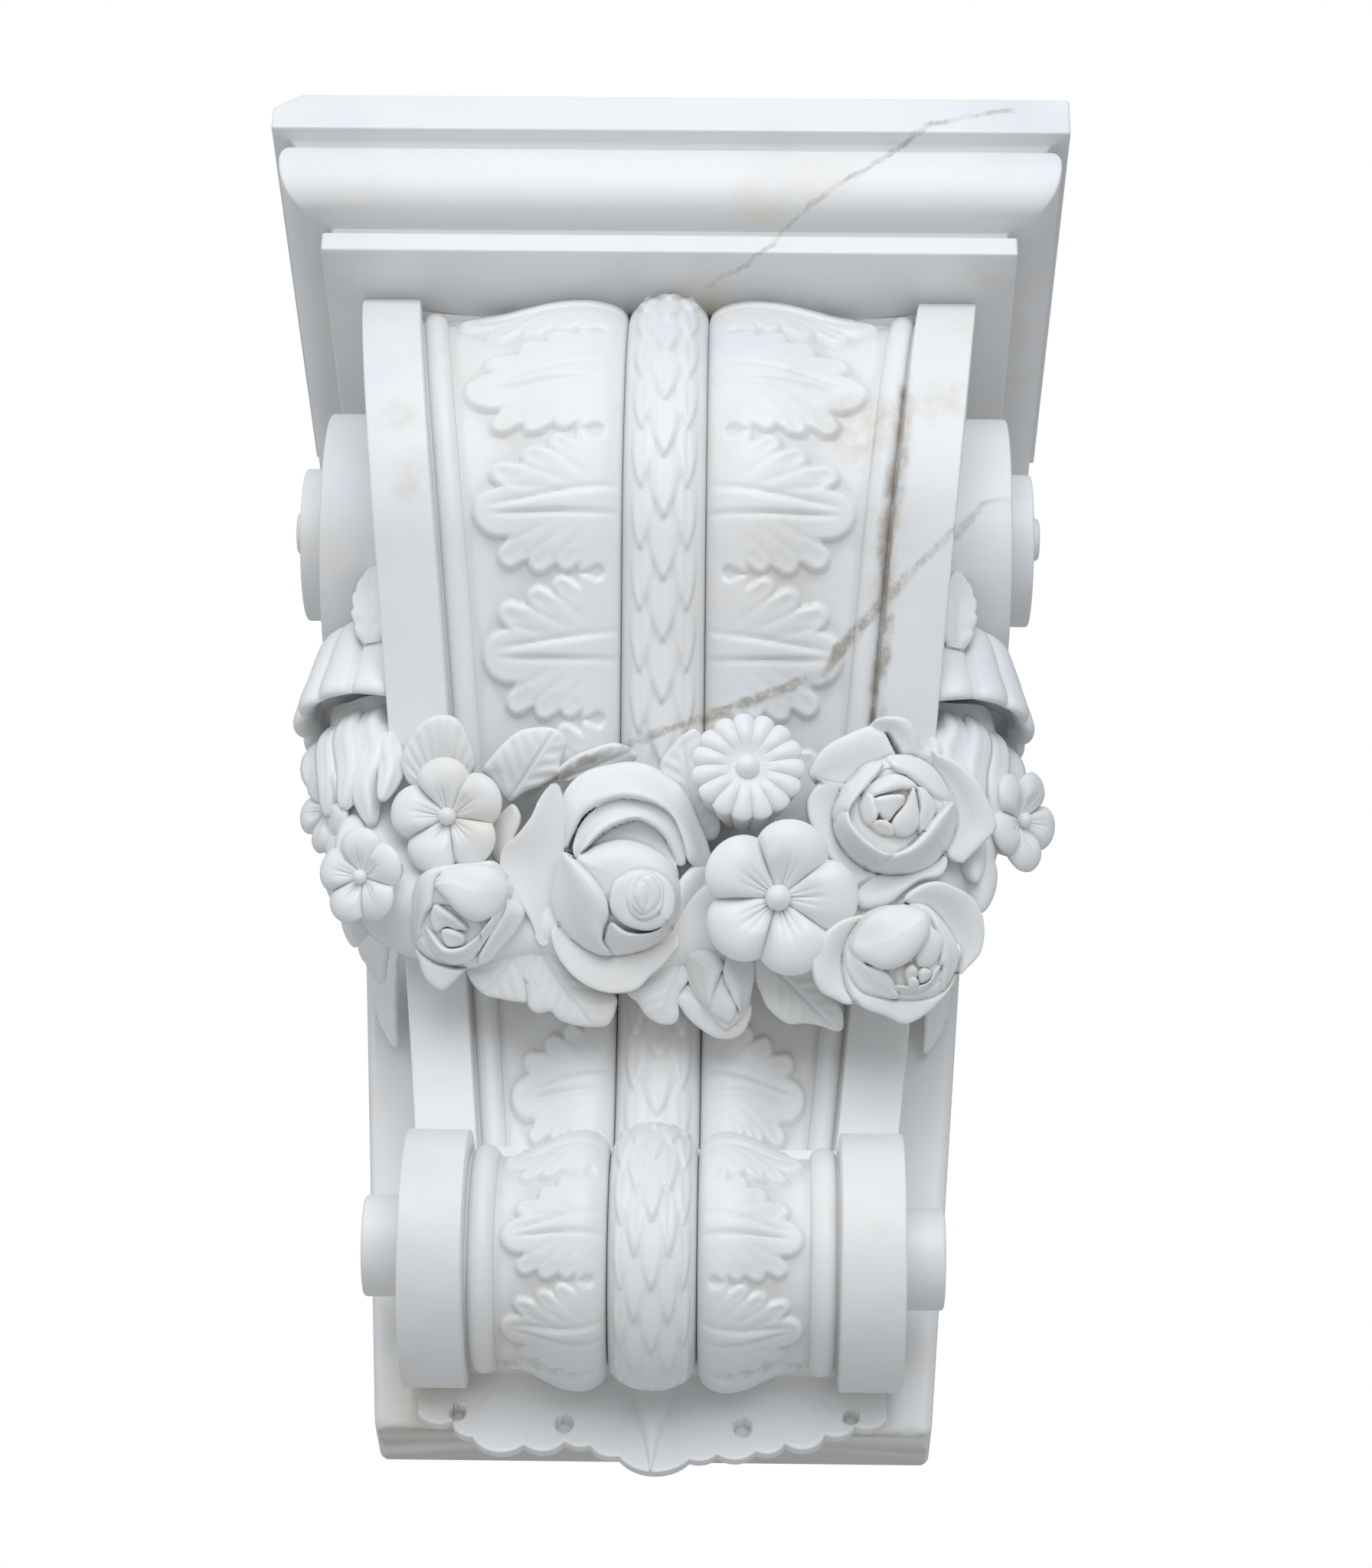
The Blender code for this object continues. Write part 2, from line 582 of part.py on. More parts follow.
def swag_core(path, radii, sides=8):
    """The solid swag that the flowers stand on: rings square to a path of points."""
    path = np.array(path, float)
    angles = [2 * math.pi * (i + 0.5) / sides for i in range(sides)]
    rings = []
    for k, (middle, radius) in enumerate(zip(path, radii)):
        ahead = unit(path[min(k + 1, len(path) - 1)] - path[max(k - 1, 0)])
        across = unit(np.cross(ahead, (0.0, 1.0, 0.35)))
        other = np.cross(ahead, across)
        rings.append([middle + radius * (across * math.cos(a) + other * math.sin(a)) for a in angles])
    carve("swag", *loft(rings))


def hang(across, out, up):
    """A place in the garland: a share of the half width, then metres in front of and above the fall's end."""
    y, z, _, _ = station(FALL_END)
    return across * half_width(z), y - out, z + up


def build_garland():
    """The swag of roses, flowers, buds and leaves across the bracket and up its sides."""
    half_swag = ((0.43, -0.004, -0.046), (0.84, 0.002, -0.043), (1.06, -0.002, -0.015), (1.11, -0.004, 0.036))
    half_swag += ((1.085, -0.002, 0.077),)
    radii = (0.033, 0.033, 0.033, 0.026, 0.024)
    path = [hang(-a, o, u) for a, o, u in reversed(half_swag)] + [hang(0.0, -0.005, -0.047)]
    path += [hang(a, o, u) for a, o, u in half_swag]
    swag_core(path, (*reversed(radii), 0.033, *radii))

    forward = (0.0, -0.86, -0.50)
    flower("flower_front_left", hang(-0.79, 0.047, -0.014), (-0.25, -0.86, -0.45), 0.0285, turn=0.35)
    rose("bud_rose", hang(-0.724, 0.020, -0.057), (-0.15, -0.82, -0.55), 0.0290, 0.4, depth=1.0, core=0.72)
    rose("great_rose", hang(-0.185, 0.029, -0.040), forward, 0.0560, 0.2, 0.9, (0.16, -0.10), 0.52)
    flower("daisy", hang(0.318, 0.062, 0.002), (0.05, -0.80, -0.60), 0.0292, 7, 0.1, ball=0.22, cup=0.9)
    flower("ball_flower", hang(0.437, 0.044, -0.060), forward, 0.0385, 5, -0.30, ball=0.17, cup=0.8)
    rose("rose_upper_right", hang(0.862, 0.044, -0.015), (0.10, -0.88, -0.45), 0.0440, 0.97, 0.9, core=0.66)
    rose("rose_lower_right", hang(0.897, 0.014, -0.079), (0.15, -0.84, -0.52), 0.0400, 0.16, 1.0, core=0.62)
    flower("flower_left", hang(-1.118, 0.013, -0.036), (-0.55, -0.72, -0.42), 0.0262, turn=0.1, cup=1.0)
    flower("flower_left_edge", hang(-1.251, -0.013, 0.022), (-0.86, -0.45, -0.25), 0.0215, turn=0.4, cup=0.9)
    flower("flower_right_edge", hang(1.301, -0.003, 0.015), (0.84, -0.48, -0.25), 0.0270, turn=0.2, cup=0.9)

    below, above = (0.0, -0.80, -0.60), (0.0, -0.85, -0.50)
    leaves = (
        ("fan_petal", (-0.817, 0.039, 0.007), (-0.846, 0.047, 0.045), (-0.2, -0.88, -0.4), 0.0210, 2, 0.014),
        ("leaf_lower_left", (-0.284, 0.007, -0.059), (-0.625, -0.013, -0.085), below, 0.030, 3, 0.03),
        ("leaf_lower_left_b", (-0.284, -0.003, -0.067), (-0.242, -0.025, -0.109), below, 0.028, 3, 0.03),
        ("leaf_lower_middle", (0.0, 0.007, -0.062), (0.021, -0.021, -0.105), below, 0.016, 2, 0.03),
        ("leaf_lower_right", (0.426, 0.007, -0.067), (0.604, -0.021, -0.103), below, 0.024, 3, 0.03),
        ("leaf_upper_left", (-0.370, 0.033, -0.007), (-0.569, 0.051, 0.037), above, 0.020, 4, 0.016),
        ("leaf_vein", (-0.426, 0.035, -0.003), (-0.156, 0.053, 0.033), above, 0.014, 3, 0.016),
        ("leaf_between", (0.10, 0.033, -0.017), (0.142, 0.053, 0.045), above, 0.015, 2, 0.016),
    )
    for name, root, tip, normal, breadth, lobes, thickness in leaves:
        blade(name, hang(*root), hang(*tip), normal, breadth, lobes, thickness)

    for side, word in ((-1, "left"), (1, "right")):
        hanging = (
            ("husk_a", (1.109, 0.023, 0.059), (1.066, 0.037, 0.013), (0.3, -0.9, -0.2), 2, 0.012),
            ("husk_b", (1.194, 0.017, 0.053), (1.166, 0.029, -0.001), (0.6, -0.8, -0.2), 2, 0.012),
            ("leaf", (1.038, -0.089, -0.017), (1.023, -0.093, -0.073), (0.75, -0.65, 0.0), 3, 0.016),
        )
        for name, root, tip, normal, lobes, thickness in hanging:
            places = [hang(side * across, out, up) for across, out, up in (root, tip)]
            blade(f"{word}_{name}", *places, (side * normal[0], *normal[1:]), 0.009, lobes, thickness)

    buds = ((1.180, 0.017, -0.019), (1.222, 0.001, -0.023), (1.166, -0.015, -0.045))
    for k, place in enumerate(buds):
        berry(f"husk_bud_{k}", hang(*place), 0.010)
    berry("tulip_bud", hang(0.228, -0.007, -0.092), 0.0185, 1.45, 8)
    berry("left_low_bud", hang(-1.052, -0.043, -0.043), 0.013, 0.9)


def build_cups():
    """The fluted cups that the garland hangs from, one under each side scroll, each with a small leaf."""
    profile = (
        (0.027, 0.022, 0.0), (0.038, 0.010, 0.06), (0.045, -0.010, 0.10), (0.046, -0.030, 0.12),
        (0.034, -0.034, 0.0),
    )
    count = CUP_FLUTES * 2
    rings = []
    for radius, drop, flute in profile:
        rings.append(([radius * (1 - flute * (i % 2)) for i in range(count)], [-drop] * count))
    for side, word in ((-1, "left"), (1, "right")):
        centre = hang(side * 1.08, 0.003, 0.093)
        polar(f"{word}_cup", centre, (side * 0.10, 0.0, -1.0), rings, up=(0, -1, 0))
        root, tip = hang(side * 1.109, 0.053, 0.103), hang(side * 1.123, 0.053, 0.145)
        blade(f"{word}_cup_leaf", root, tip, (side * 0.2, -0.95, 0.0), 0.008, 2, 0.03, 0.003)


def build_foot_leaf():
    """The broad leaf under the roll: scalloped, with a tapering rib, its edge curling forwards."""
    steps = FOOT_LEAF_LOBES * 2
    rows = []
    for i in range(steps + 1):
        u = -1 + 2 * i / steps
        drop = FOOT_LEAF_DROP * (1 - 0.42 * abs(u) ** 1.4) * (0.88, 1.0)[i % 2]
        if abs(u) > 0.93:
            drop *= 0.75
        row = []
        for v, back in ((0.0, -0.33), (0.6, -0.13), (1.0, 0.0), (0.96, 1.0), (0.0, 1.6)):
            y = FOOT_LEAF_Y - FOOT_LEAF_CURL * v ** 2 + FOOT_LEAF_THICKNESS * back
            row.append((u * FOOT_LEAF_HALF_WIDTH, y, FOOT_LEAF_TOP_Z - drop * v))
        rows.append(row)
    carve("foot_leaf", *loft(rows))
    spike = []
    sections = ((0.0, 0.015, 0.012, 0.010), (0.42, 0.010, 0.014, 0.008), (0.995, 0.001, 0.016, -0.006))
    for drop, half, out, back in sections:
        y, z = FOOT_LEAF_Y - (out - 0.012) * 3, FOOT_LEAF_TOP_Z - FOOT_LEAF_DROP * drop
        spike.append([(-half, y, z), (0.0, FOOT_LEAF_Y - out, z), (half, y, z), (0.0, FOOT_LEAF_Y + back, z)])
    carve("foot_spike", *loft(spike))


build_abacus()
build_plate()
build_bracket()
build_roll()
build_rope()
build_scroll_sides()
build_garland()
build_cups()
build_foot_leaf()

# One block: everything carved is united with the abacus, then the broken corner is taken off.
# The exact solver leaves open seams between so many leaves and petals, so the manifold one joins them.
block = carved[0]
block.name = "corbel"
block.data.name = "corbel"
for obj in carved[1:]:
    join = block.modifiers.new("join_" + obj.name, "BOOLEAN")
    join.operation = "UNION"
    join.solver = "MANIFOLD"
    join.object = obj
    obj.hide_render = True
    obj.display_type = "WIRE"
wall = solid("wall_cutter", *box(SLAB_WIDTH, 0.0, BEHIND * 8, -SLAB_WIDTH * 1.5, SLAB_WIDTH * 1.5))
for cutter, word in ((wall, "flat_back"), (chip_cutter(), "broken_corner")):
    cut = block.modifiers.new(word, "BOOLEAN")
    cut.operation = "DIFFERENCE"
    cut.solver = "MANIFOLD"
    cut.object = cutter
    cutter.hide_render = True
    cutter.display_type = "WIRE"

flats = block.modifiers.new("merged_flats", "DECIMATE")
flats.decimate_type = "DISSOLVE"
flats.angle_limit = math.radians(FLAT_ANGLE)

marble = bpy.data.materials.new("white_marble")
marble.use_nodes = True
shader = marble.node_tree.nodes["Principled BSDF"]
shader.inputs["Base Color"].default_value = MARBLE_COLOUR
shader.inputs["Roughness"].default_value = MARBLE_ROUGHNESS
block.data.materials.append(marble)
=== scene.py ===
# %% [markdown]
# # A carved marble corbel, surface by surface
#
# The real thing is one block of white marble, carved by hand and built into a wall to carry a shelf
# or a beam. The frame gives its sizes as a plain solid. Here every part of that solid gets the
# surface a mason would leave: leaves with rounded lobes, laurel scales, petals with thin rims.
# Each surface is worked out with numpy on a grid, because a carving is mostly relief on a known
# form: a height, measured square to that form, which is easy to write as a formula.

# %% Load the frame
import math

import bpy
import numpy as np
from mathutils import Matrix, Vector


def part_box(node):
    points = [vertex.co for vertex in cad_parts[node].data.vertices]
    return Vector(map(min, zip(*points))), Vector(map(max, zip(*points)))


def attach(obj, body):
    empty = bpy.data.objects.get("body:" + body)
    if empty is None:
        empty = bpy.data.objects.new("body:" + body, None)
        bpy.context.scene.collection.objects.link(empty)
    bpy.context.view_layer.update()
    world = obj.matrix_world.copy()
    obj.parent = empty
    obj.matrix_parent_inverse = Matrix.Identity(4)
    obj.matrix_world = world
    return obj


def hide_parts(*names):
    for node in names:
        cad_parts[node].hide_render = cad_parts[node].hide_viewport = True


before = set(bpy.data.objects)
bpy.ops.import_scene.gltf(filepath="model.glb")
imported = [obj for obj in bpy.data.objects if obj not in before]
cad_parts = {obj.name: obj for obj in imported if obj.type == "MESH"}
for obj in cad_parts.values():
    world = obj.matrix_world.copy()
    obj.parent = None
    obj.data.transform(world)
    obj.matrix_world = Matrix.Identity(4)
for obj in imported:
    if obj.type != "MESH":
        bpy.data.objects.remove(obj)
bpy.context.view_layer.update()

LOW, HIGH = (np.array(corner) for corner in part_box("corbel"))
MM = 0.001
SIDES = ((-1, "left"), (1, "right"))
print("solid, in mm:", np.round((HIGH - LOW) / MM, 1))

# %% [markdown]
# ## Turning grids into meshes
#
# A sculptor could push vertices about by hand, but a formula on a grid can be changed and run again.
# Every piece below is built from closed blocks: a stack of rings, or a shell between two sheets.
# A block that comes out inside out has a negative volume, so its faces are turned round.

# %% Faces of a grid
def grid_quads(rows, columns, wrap):
    """Four corners for every cell of a grid, closed round its columns where wrap is true."""
    last = columns if wrap else columns - 1
    i, j = np.meshgrid(np.arange(rows - 1), np.arange(last), indexing="ij")
    k = (j + 1) % columns
    corners = (i * columns + j, i * columns + k, (i + 1) * columns + k, (i + 1) * columns + j)
    return np.stack(corners, axis=-1).reshape(-1, 4)


def block(points, quads, shade):
    """Points, faces turned outwards by the sign of the volume, and how deep in a crevice each point is."""
    a, b, c, d = (points[quads[:, i]] for i in range(4))
    volume = np.einsum("ij,ij->", a, np.cross(b, c)) + np.einsum("ij,ij->", a, np.cross(c, d))
    tone = np.zeros(len(points))
    if shade is not None:
        tone[:shade.size] = shade.ravel()
    return points, quads[:, ::-1] if volume < 0 else quads, tone


print("5 rings of 12 points:", len(grid_quads(5, 12, True)), "faces")


# %% Closed blocks
def ring_stack(rings, shade=None):
    """A closed block from rings (n, m, 3); each end is a fan of triangles about the ring's middle."""
    n, m = rings.shape[:2]
    points = np.concatenate([rings.reshape(-1, 3), rings[:1].mean(axis=1), rings[-1:].mean(axis=1)])
    j = np.arange(m)
    k = (j + 1) % m
    first, last = np.full(m, n * m), np.full(m, n * m + 1)
    start = np.stack([first, k, j, first], axis=-1)
    end = np.stack([last, (n - 1) * m + j, (n - 1) * m + k, last], axis=-1)
    return block(points, np.concatenate([grid_quads(n, m, True), start, end]), shade)


def shell(top, bottom, shade=None):
    """A closed block between two sheets (n, m, 3), joined all round their rims."""
    n, m = top.shape[:2]
    right, left = np.arange(1, n) * m + m - 1, np.arange(n - 2, 0, -1) * m
    rim = np.concatenate([np.arange(m), right, (n - 1) * m + np.arange(m - 2, -1, -1), left])
    following = np.roll(rim, -1)
    sheet = grid_quads(n, m, False)
    wall = np.stack([rim, rim + n * m, following + n * m, following], axis=-1)
    points = np.concatenate([top.reshape(-1, 3), bottom.reshape(-1, 3)])
    return block(points, np.concatenate([sheet, sheet[:, ::-1] + n * m, wall]), shade)


print("with both ends closed:", len(ring_stack(np.zeros((5, 12, 3)))[1]), "faces")


# %% Rings about an axis
FORWARD = (0.0, -0.86, -0.50)


def unit(v):
    """Vectors of length 1."""
    v = np.asarray(v, float)
    return v / np.maximum(np.linalg.norm(v, axis=-1, keepdims=True), 1e-12)


def axes_of(normal, up=(0.0, 0.0, 1.0)):
    """Right, up and out for a thing that faces along the normal."""
    n = unit(normal)
    u = unit(np.array(up) - n * np.dot(up, n))
    return np.cross(u, n), u, n


def around(centre, axes, radius, angle, height):
    """Points at a radius and an angle about the third axis, and at a height along it."""
    right, up, out = axes
    flat = np.cos(angle)[..., None] * right + np.sin(angle)[..., None] * up
    return np.array(centre) + radius[..., None] * flat + height[..., None] * np.array(out)


print("right, up and out of a flower that faces the viewer:", np.round(axes_of(FORWARD), 2).tolist())

# %% [markdown]
# ## One object for each piece
#
# The numbers of a whole piece go into its mesh in one go, which is far quicker than one vertex at a
# time. Each vertex also keeps its crevice tone, for dust and painted shade in the carving's depths.
# Smooth shading rounds the relief, and edges sharper than a given angle stay crisp.

# %% Put a piece into the scene
made = {}


def piece(name, blocks, sharp=40.0):
    """One object from closed blocks, riding on the block of stone and standing for it."""
    first = np.cumsum([0] + [len(points) for points, _, _ in blocks])
    points = np.concatenate([points for points, _, _ in blocks])
    quads = np.concatenate([quads + start for (_, quads, _), start in zip(blocks, first)])
    tone = np.concatenate([tone for _, _, tone in blocks])
    fan = quads[:, 0] == quads[:, 3]
    whole, fans = quads[~fan], quads[fan][:, :3]
    mesh = bpy.data.meshes.new(name)
    mesh.vertices.add(len(points))
    mesh.vertices.foreach_set("co", points.ravel())
    mesh.loops.add(whole.size + fans.size)
    mesh.loops.foreach_set("vertex_index", np.concatenate([whole.ravel(), fans.ravel()]))
    mesh.polygons.add(len(whole) + len(fans))
    starts = np.concatenate([np.arange(len(whole)) * 4, whole.size + np.arange(len(fans)) * 3])
    mesh.polygons.foreach_set("loop_start", starts)
    mesh.update(calc_edges=True)
    # The crevice tone is laid on the marble as dust and painted shade in the hollows.
    mesh.attributes.new("crevice", "FLOAT", "POINT").data.foreach_set("value", tone)
    mesh.shade_smooth()
    mesh.set_sharp_from_angle(angle=math.radians(sharp))
    obj = bpy.data.objects.new(name, mesh)
    bpy.context.scene.collection.objects.link(obj)
    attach(obj, "root")
    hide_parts("corbel")
    made[name] = obj
    print(f"{name}: {2 * len(whole) + len(fans)} triangles")


# %% [markdown]
# ## The sizes of the block
#
# The width, depth and height come from the frame. The rest are the mason's setting-out sizes: the
# mouldings of the cap, the side outline of the bracket and the bands across its face. The outline is
# three plain curves in a row: a large scroll, a straight fall and a hollow that meets a small roll.

# %% Sizes of the cap, the bracket and the plate
WIDTH, DEPTH = HIGH[0] - LOW[0], -LOW[1]
TOP_Z = HIGH[2]
SLAB, QUIRK, HALF_ROUND, COVE, BED = 25.0 * MM, 6.0 * MM, 37.0 * MM, 7.0 * MM, 12.5 * MM
SLAB_UNDER = TOP_Z - SLAB
BED_BOTTOM = SLAB_UNDER - QUIRK - HALF_ROUND - COVE - BED
PLATE = 41.3 * MM

SCROLL_R, SCROLL_Y = 131.1 * MM, -137.3 * MM
SCROLL_TOP, FALL_ANGLE, HOLLOW_END = (math.radians(a) for a in (-52.0, 38.0, -14.0))
FALL, HOLLOW_R = 158.4 * MM, 220.0 * MM
BRACKET_TOP = BED_BOTTOM + 2.2 * MM
SCROLL_Z = BRACKET_TOP + 3.0 * MM + SCROLL_R * math.sin(SCROLL_TOP)
SCROLL_LENGTH = SCROLL_R * (FALL_ANGLE - SCROLL_TOP)
FALL_END = SCROLL_LENGTH + FALL
FACE_LENGTH = FALL_END + HOLLOW_R * (FALL_ANGLE - HOLLOW_END)

BAND, BEAD, BEAD_QUIRK = 33.0 * MM, 13.7 * MM, 0.8 * MM
PANEL_SINK, BEAD_RISE, SWELL_TOP = 13.5 * MM, 6.0 * MM, 1.6 * MM
ROPE_HALF, ROPE_SINK, ROPE_PROUD = 22.8 * MM, 13.0 * MM, 2.4 * MM
ROLL_R, ROLL_HALF = 65.6 * MM, 126.3 * MM
print("under the cap at", round(BED_BOTTOM, 4), "and the face is", round(FACE_LENGTH, 4), "long")


# %% The line down the face
def face_line(s):
    """Y, Z and the outward direction at the distance s down the face: arc, straight, hollow arc."""
    s = np.asarray(s, float)
    angle = np.where(s < SCROLL_LENGTH, SCROLL_TOP + s / SCROLL_R, FALL_ANGLE)
    angle = np.where(s > FALL_END, FALL_ANGLE - (s - FALL_END) / HOLLOW_R, angle)
    c, n = np.cos(angle), np.sin(angle)
    y, z = SCROLL_Y - SCROLL_R * c, SCROLL_Z - SCROLL_R * n
    run = np.clip(s - SCROLL_LENGTH, 0, FALL)
    cf, sf = math.cos(FALL_ANGLE), math.sin(FALL_ANGLE)
    y, z = y + sf * run, z - cf * run
    hollow = s > FALL_END
    y = np.where(hollow, y + SCROLL_R * (c - cf) - HOLLOW_R * (cf - c), y)
    z = np.where(hollow, z + SCROLL_R * (n - sf) - HOLLOW_R * (sf - n), z)
    return y, z, -c, -n


def half_width(z):
    """Half the bracket's breadth: it narrows evenly downwards."""
    return 170.7 * MM - 0.098 * (BRACKET_TOP - z)


FOOT_OF_FACE_Y, FOOT_OF_FACE_Z = (float(v) for v in face_line(FACE_LENGTH)[:2])
ROLL_Y, ROLL_Z = FOOT_OF_FACE_Y + 6.2 * MM, FOOT_OF_FACE_Z - 34.8 * MM
PLATE_BOTTOM = ROLL_Z - ROLL_R - 2.8 * MM
print("roll axis at", round(ROLL_Y, 4), round(ROLL_Z, 4))

# %% [markdown]
# ## Relief as heights
#
# Low relief is a height above a ground. Each lobe of an acanthus leaf is a capsule, a stretch of line
# with a swelling radius, and its height rises from its rim like a quarter circle. Taking the
# greatest of the lobes' heights gives the creases between them for nothing, as a chisel does.

# %% Soft steps and distances
def soft(x, low=0.0, high=1.0):
    """A smooth step from 0 to 1 between low and high."""
    t = np.clip((x - low) / (high - low), 0, 1)
    return t * t * (3 - 2 * t)


def bump(x, breadth):
    """A smooth hump, 1 in the middle: e to the power of minus the square of x over the breadth."""
    return np.exp(-(x / breadth) ** 2)


def quarter(d, r):
    """A quarter circle's height, from 0 at the rim to 1 at the depth r inside it."""
    return np.sqrt(np.clip(1 - (1 - np.clip(d / r, 0, 1)) ** 2, 0, 1))


def segment(a, b, a0, b0, a1, b1):
    """Distance to the line from one point to another, and the share along it."""
    da, db = a1 - a0, b1 - b0
    t = np.clip(((a - a0) * da + (b - b0) * db) / (da * da + db * db), 0, 1)
    return np.hypot(a - a0 - t * da, b - b0 - t * db), t


print("a quarter circle's height, 1 mm inside a rim of 4 mm:", round(float(quarter(1.0, 4.0)), 3))

# %% The acanthus leaf
# Lobes of a half leaf in mm: out from the groove and down from the midrib, with two radii.
LOBES = (
    (18, 0, 62.0, 3.5, 17, 14.4), (40, -8, 59.5, -17.8, 12, 7.0), (28, -12, 44.0, -25.7, 11, 6.4),
    (14, -13, 31, -31.2, 11, 5.8), (40, 12, 58.0, 27.0, 12, 7.0), (27, 15, 42.5, 31.0, 11, 6.4),
    (13, 14, 28, 31.2, 11, 5.7),
)
CREASES = (
    (57, -12, 26, -4), (47, -20, 18, -5.5), (34, -27, 12, -8), (60, 20, 28, 7), (49, 27, 20, 8.5),
    (36, 31, 13, 11),
)
LEAF_PITCH, LEAF_SPAN, LEAF_EYE = 75.0, 81.0, 37.5


def acanthus(a, b):
    """Height in mm of a half leaf at a out from the groove and b down from the midrib.

    It is the highest of the body and the lobes, less the creases, plus a midrib between two fine
    grooves. Drilled eyes at the groove part each leaf from the next.
    """
    b = b + 1.0 - 3.6 * soft(a, 4, 80) * soft(48 - np.abs(b), 0, 12)
    height = quarter(22 - a + 0 * b, 4.0)
    away, t = segment(a, b, 0, 0, 41, 3)
    height = np.maximum(height, quarter(33.5 - 11.5 * t - away, 3.0))
    for a0, b0, a1, b1, r0, r1 in LOBES:
        away, t = segment(a, b, a0, b0, a1, b1)
        radius = r0 + (r1 - r0) * t
        scoop = 0.22 * bump(away, 0.5 * radius) * soft(t, 0.35, 0.95) * (r1 < 9)
        height = np.maximum(height, quarter(radius - away, 2.6) * (1.0 - scoop))
    for crease in CREASES:
        away, t = segment(a, b, *crease)
        height = height - 0.20 * (1 - t) ** 0.8 * bump(away, 1.1 + 1.6 * t) * (height > 0.5)
    from_rib = np.abs(b - 1.5 * (a / 76) ** 2)
    rib = 6.4 * np.clip(1 - a / 75, 0, 1) ** 0.75 + 0.5
    inside = soft(a, -5, 6) * (a < 73)
    height = height + inside * 0.26 * quarter(rib - from_rib, 3.0) * soft(75 - a, 0, 30)
    height = height - inside * 0.36 * bump(from_rib - rib - 0.5, 1.5) * soft(74 - a, 0, 22)
    for side, _ in SIDES:
        away, t = segment(a, b, 12.0, side * LEAF_EYE, 34.0, side * (LEAF_EYE + 0.6))
        height = height * soft(away - (3.4 - 2.9 * soft(t, 0, 0.32)), -0.5, 1.1)
    return (2.0 + 1.9 * soft(a, 8, 42)) * height


print("the leaf at its middle rises", round(float(acanthus(np.array(40.0), np.array(0.0))), 2), "mm")


# %% Crevices and calm edges
def stretched(grid, axis, by):
    """The grid with its first and last rows, or columns, repeated outside it."""
    return np.pad(grid, [(by, by) if i == axis else (0, 0) for i in (0, 1)], mode="edge")


# This tone is laid on the marble as dust and painted shade.
def crevices(up, reach=9):
    """How far each point lies below the mean of those around it, from 0 to 1, by running sums."""
    mean, window = up, 2 * reach + 1
    for axis in (0, 1):
        n = up.shape[axis]
        total = np.insert(np.cumsum(stretched(mean, axis, reach), axis=axis), 0, 0, axis=axis)
        mean = (np.take(total, range(window, n + window), axis) - np.take(total, range(n), axis)) / window
    return np.clip((mean - up) / (1.6 * MM), 0, 1)


def calm(up):
    """Heights averaged with their neighbours, so that slanting edges don't step from row to row."""
    for axis in (0, 1):
        n, wide = up.shape[axis], stretched(up, axis, 1)
        up = 0.66 * up + 0.17 * (np.take(wide, range(n), axis) + np.take(wide, range(2, n + 2), axis))
    return up


pit = np.ones((30, 30)) * MM
pit[15, 15] = 0
print("tone of a pit 1 mm deep:", round(float(crevices(pit)[15, 15]), 2))

# %% [markdown]
# ## The bracket's face
#
# Each side of the bracket's face runs from the rope in the middle, over a swelling panel of leaves, to
# a bead and a flat band. One grid carries it all: rows go down the face and columns go across it.
# The garland hides the middle of the face, so the rows are sparse there and close where leaves show.

# %% Section across the face
def panel_edge(half):
    """Where the leaf panel ends and its bead begins."""
    return half - BAND - BEAD_QUIRK - BEAD


def section(x, half):
    """Depth under the band's face: flat band, quirk, round bead, then a panel that swells to the rope."""
    panel = panel_edge(half)
    q = (x - ROPE_HALF) / (panel - ROPE_HALF)
    rise = (PANEL_SINK - SWELL_TOP) * 0.5 * (1 + np.cos(np.pi * np.clip((q - 0.20) / 0.70, 0, 1)))
    sink = PANEL_SINK - rise * (0.10 + 0.90 * quarter(np.clip(q, 0, 1), 0.23))
    t = (x - panel) / BEAD * 2 - 1
    sink = np.where(x > panel, PANEL_SINK - BEAD_RISE * np.sqrt(np.clip(1 - t * t, 0, 1)), sink)
    sink = np.where(x > panel + BEAD, PANEL_SINK, sink)
    band_edge = quarter(x - (half - BAND), 1.6 * MM)
    sink = np.where(x > half - BAND, PANEL_SINK * (1 - band_edge), sink)
    return np.where(x < ROPE_HALF, np.maximum(sink, ROPE_SINK + 2 * MM), sink)


def columns_across(half, fine):
    """Places across one side, from under the rope to the band's outer edge, close where edges turn."""
    panel, inner = panel_edge(half), half - BAND
    shares = np.concatenate([[-0.05, -0.01], np.linspace(0.002, 0.07, 9), np.linspace(0.08, 0.998, fine)])
    bead = panel + BEAD * (0.5 - 0.5 * np.cos(np.linspace(0.02, 0.98, 13) * np.pi))
    edge = inner + MM * np.array([-3.2, -1.0, 0.02, 0.15, 0.4, 0.8, 1.2, 1.6, 3.0])
    flat = inner + BAND * np.array([0.2, 0.4, 0.6, 0.8, 0.94])
    outer = half - MM * np.array([1.2, 0.7, 0.35, 0.1, 0.0])
    return np.concatenate([ROPE_HALF + (panel - ROPE_HALF) * shares, bead, edge, flat, outer], axis=1)


print("columns across one side:", columns_across(np.array([[ROLL_HALF]]), 80).shape[1])

# %% Rings of one side
EDGE_ROUND = 1.2 * MM


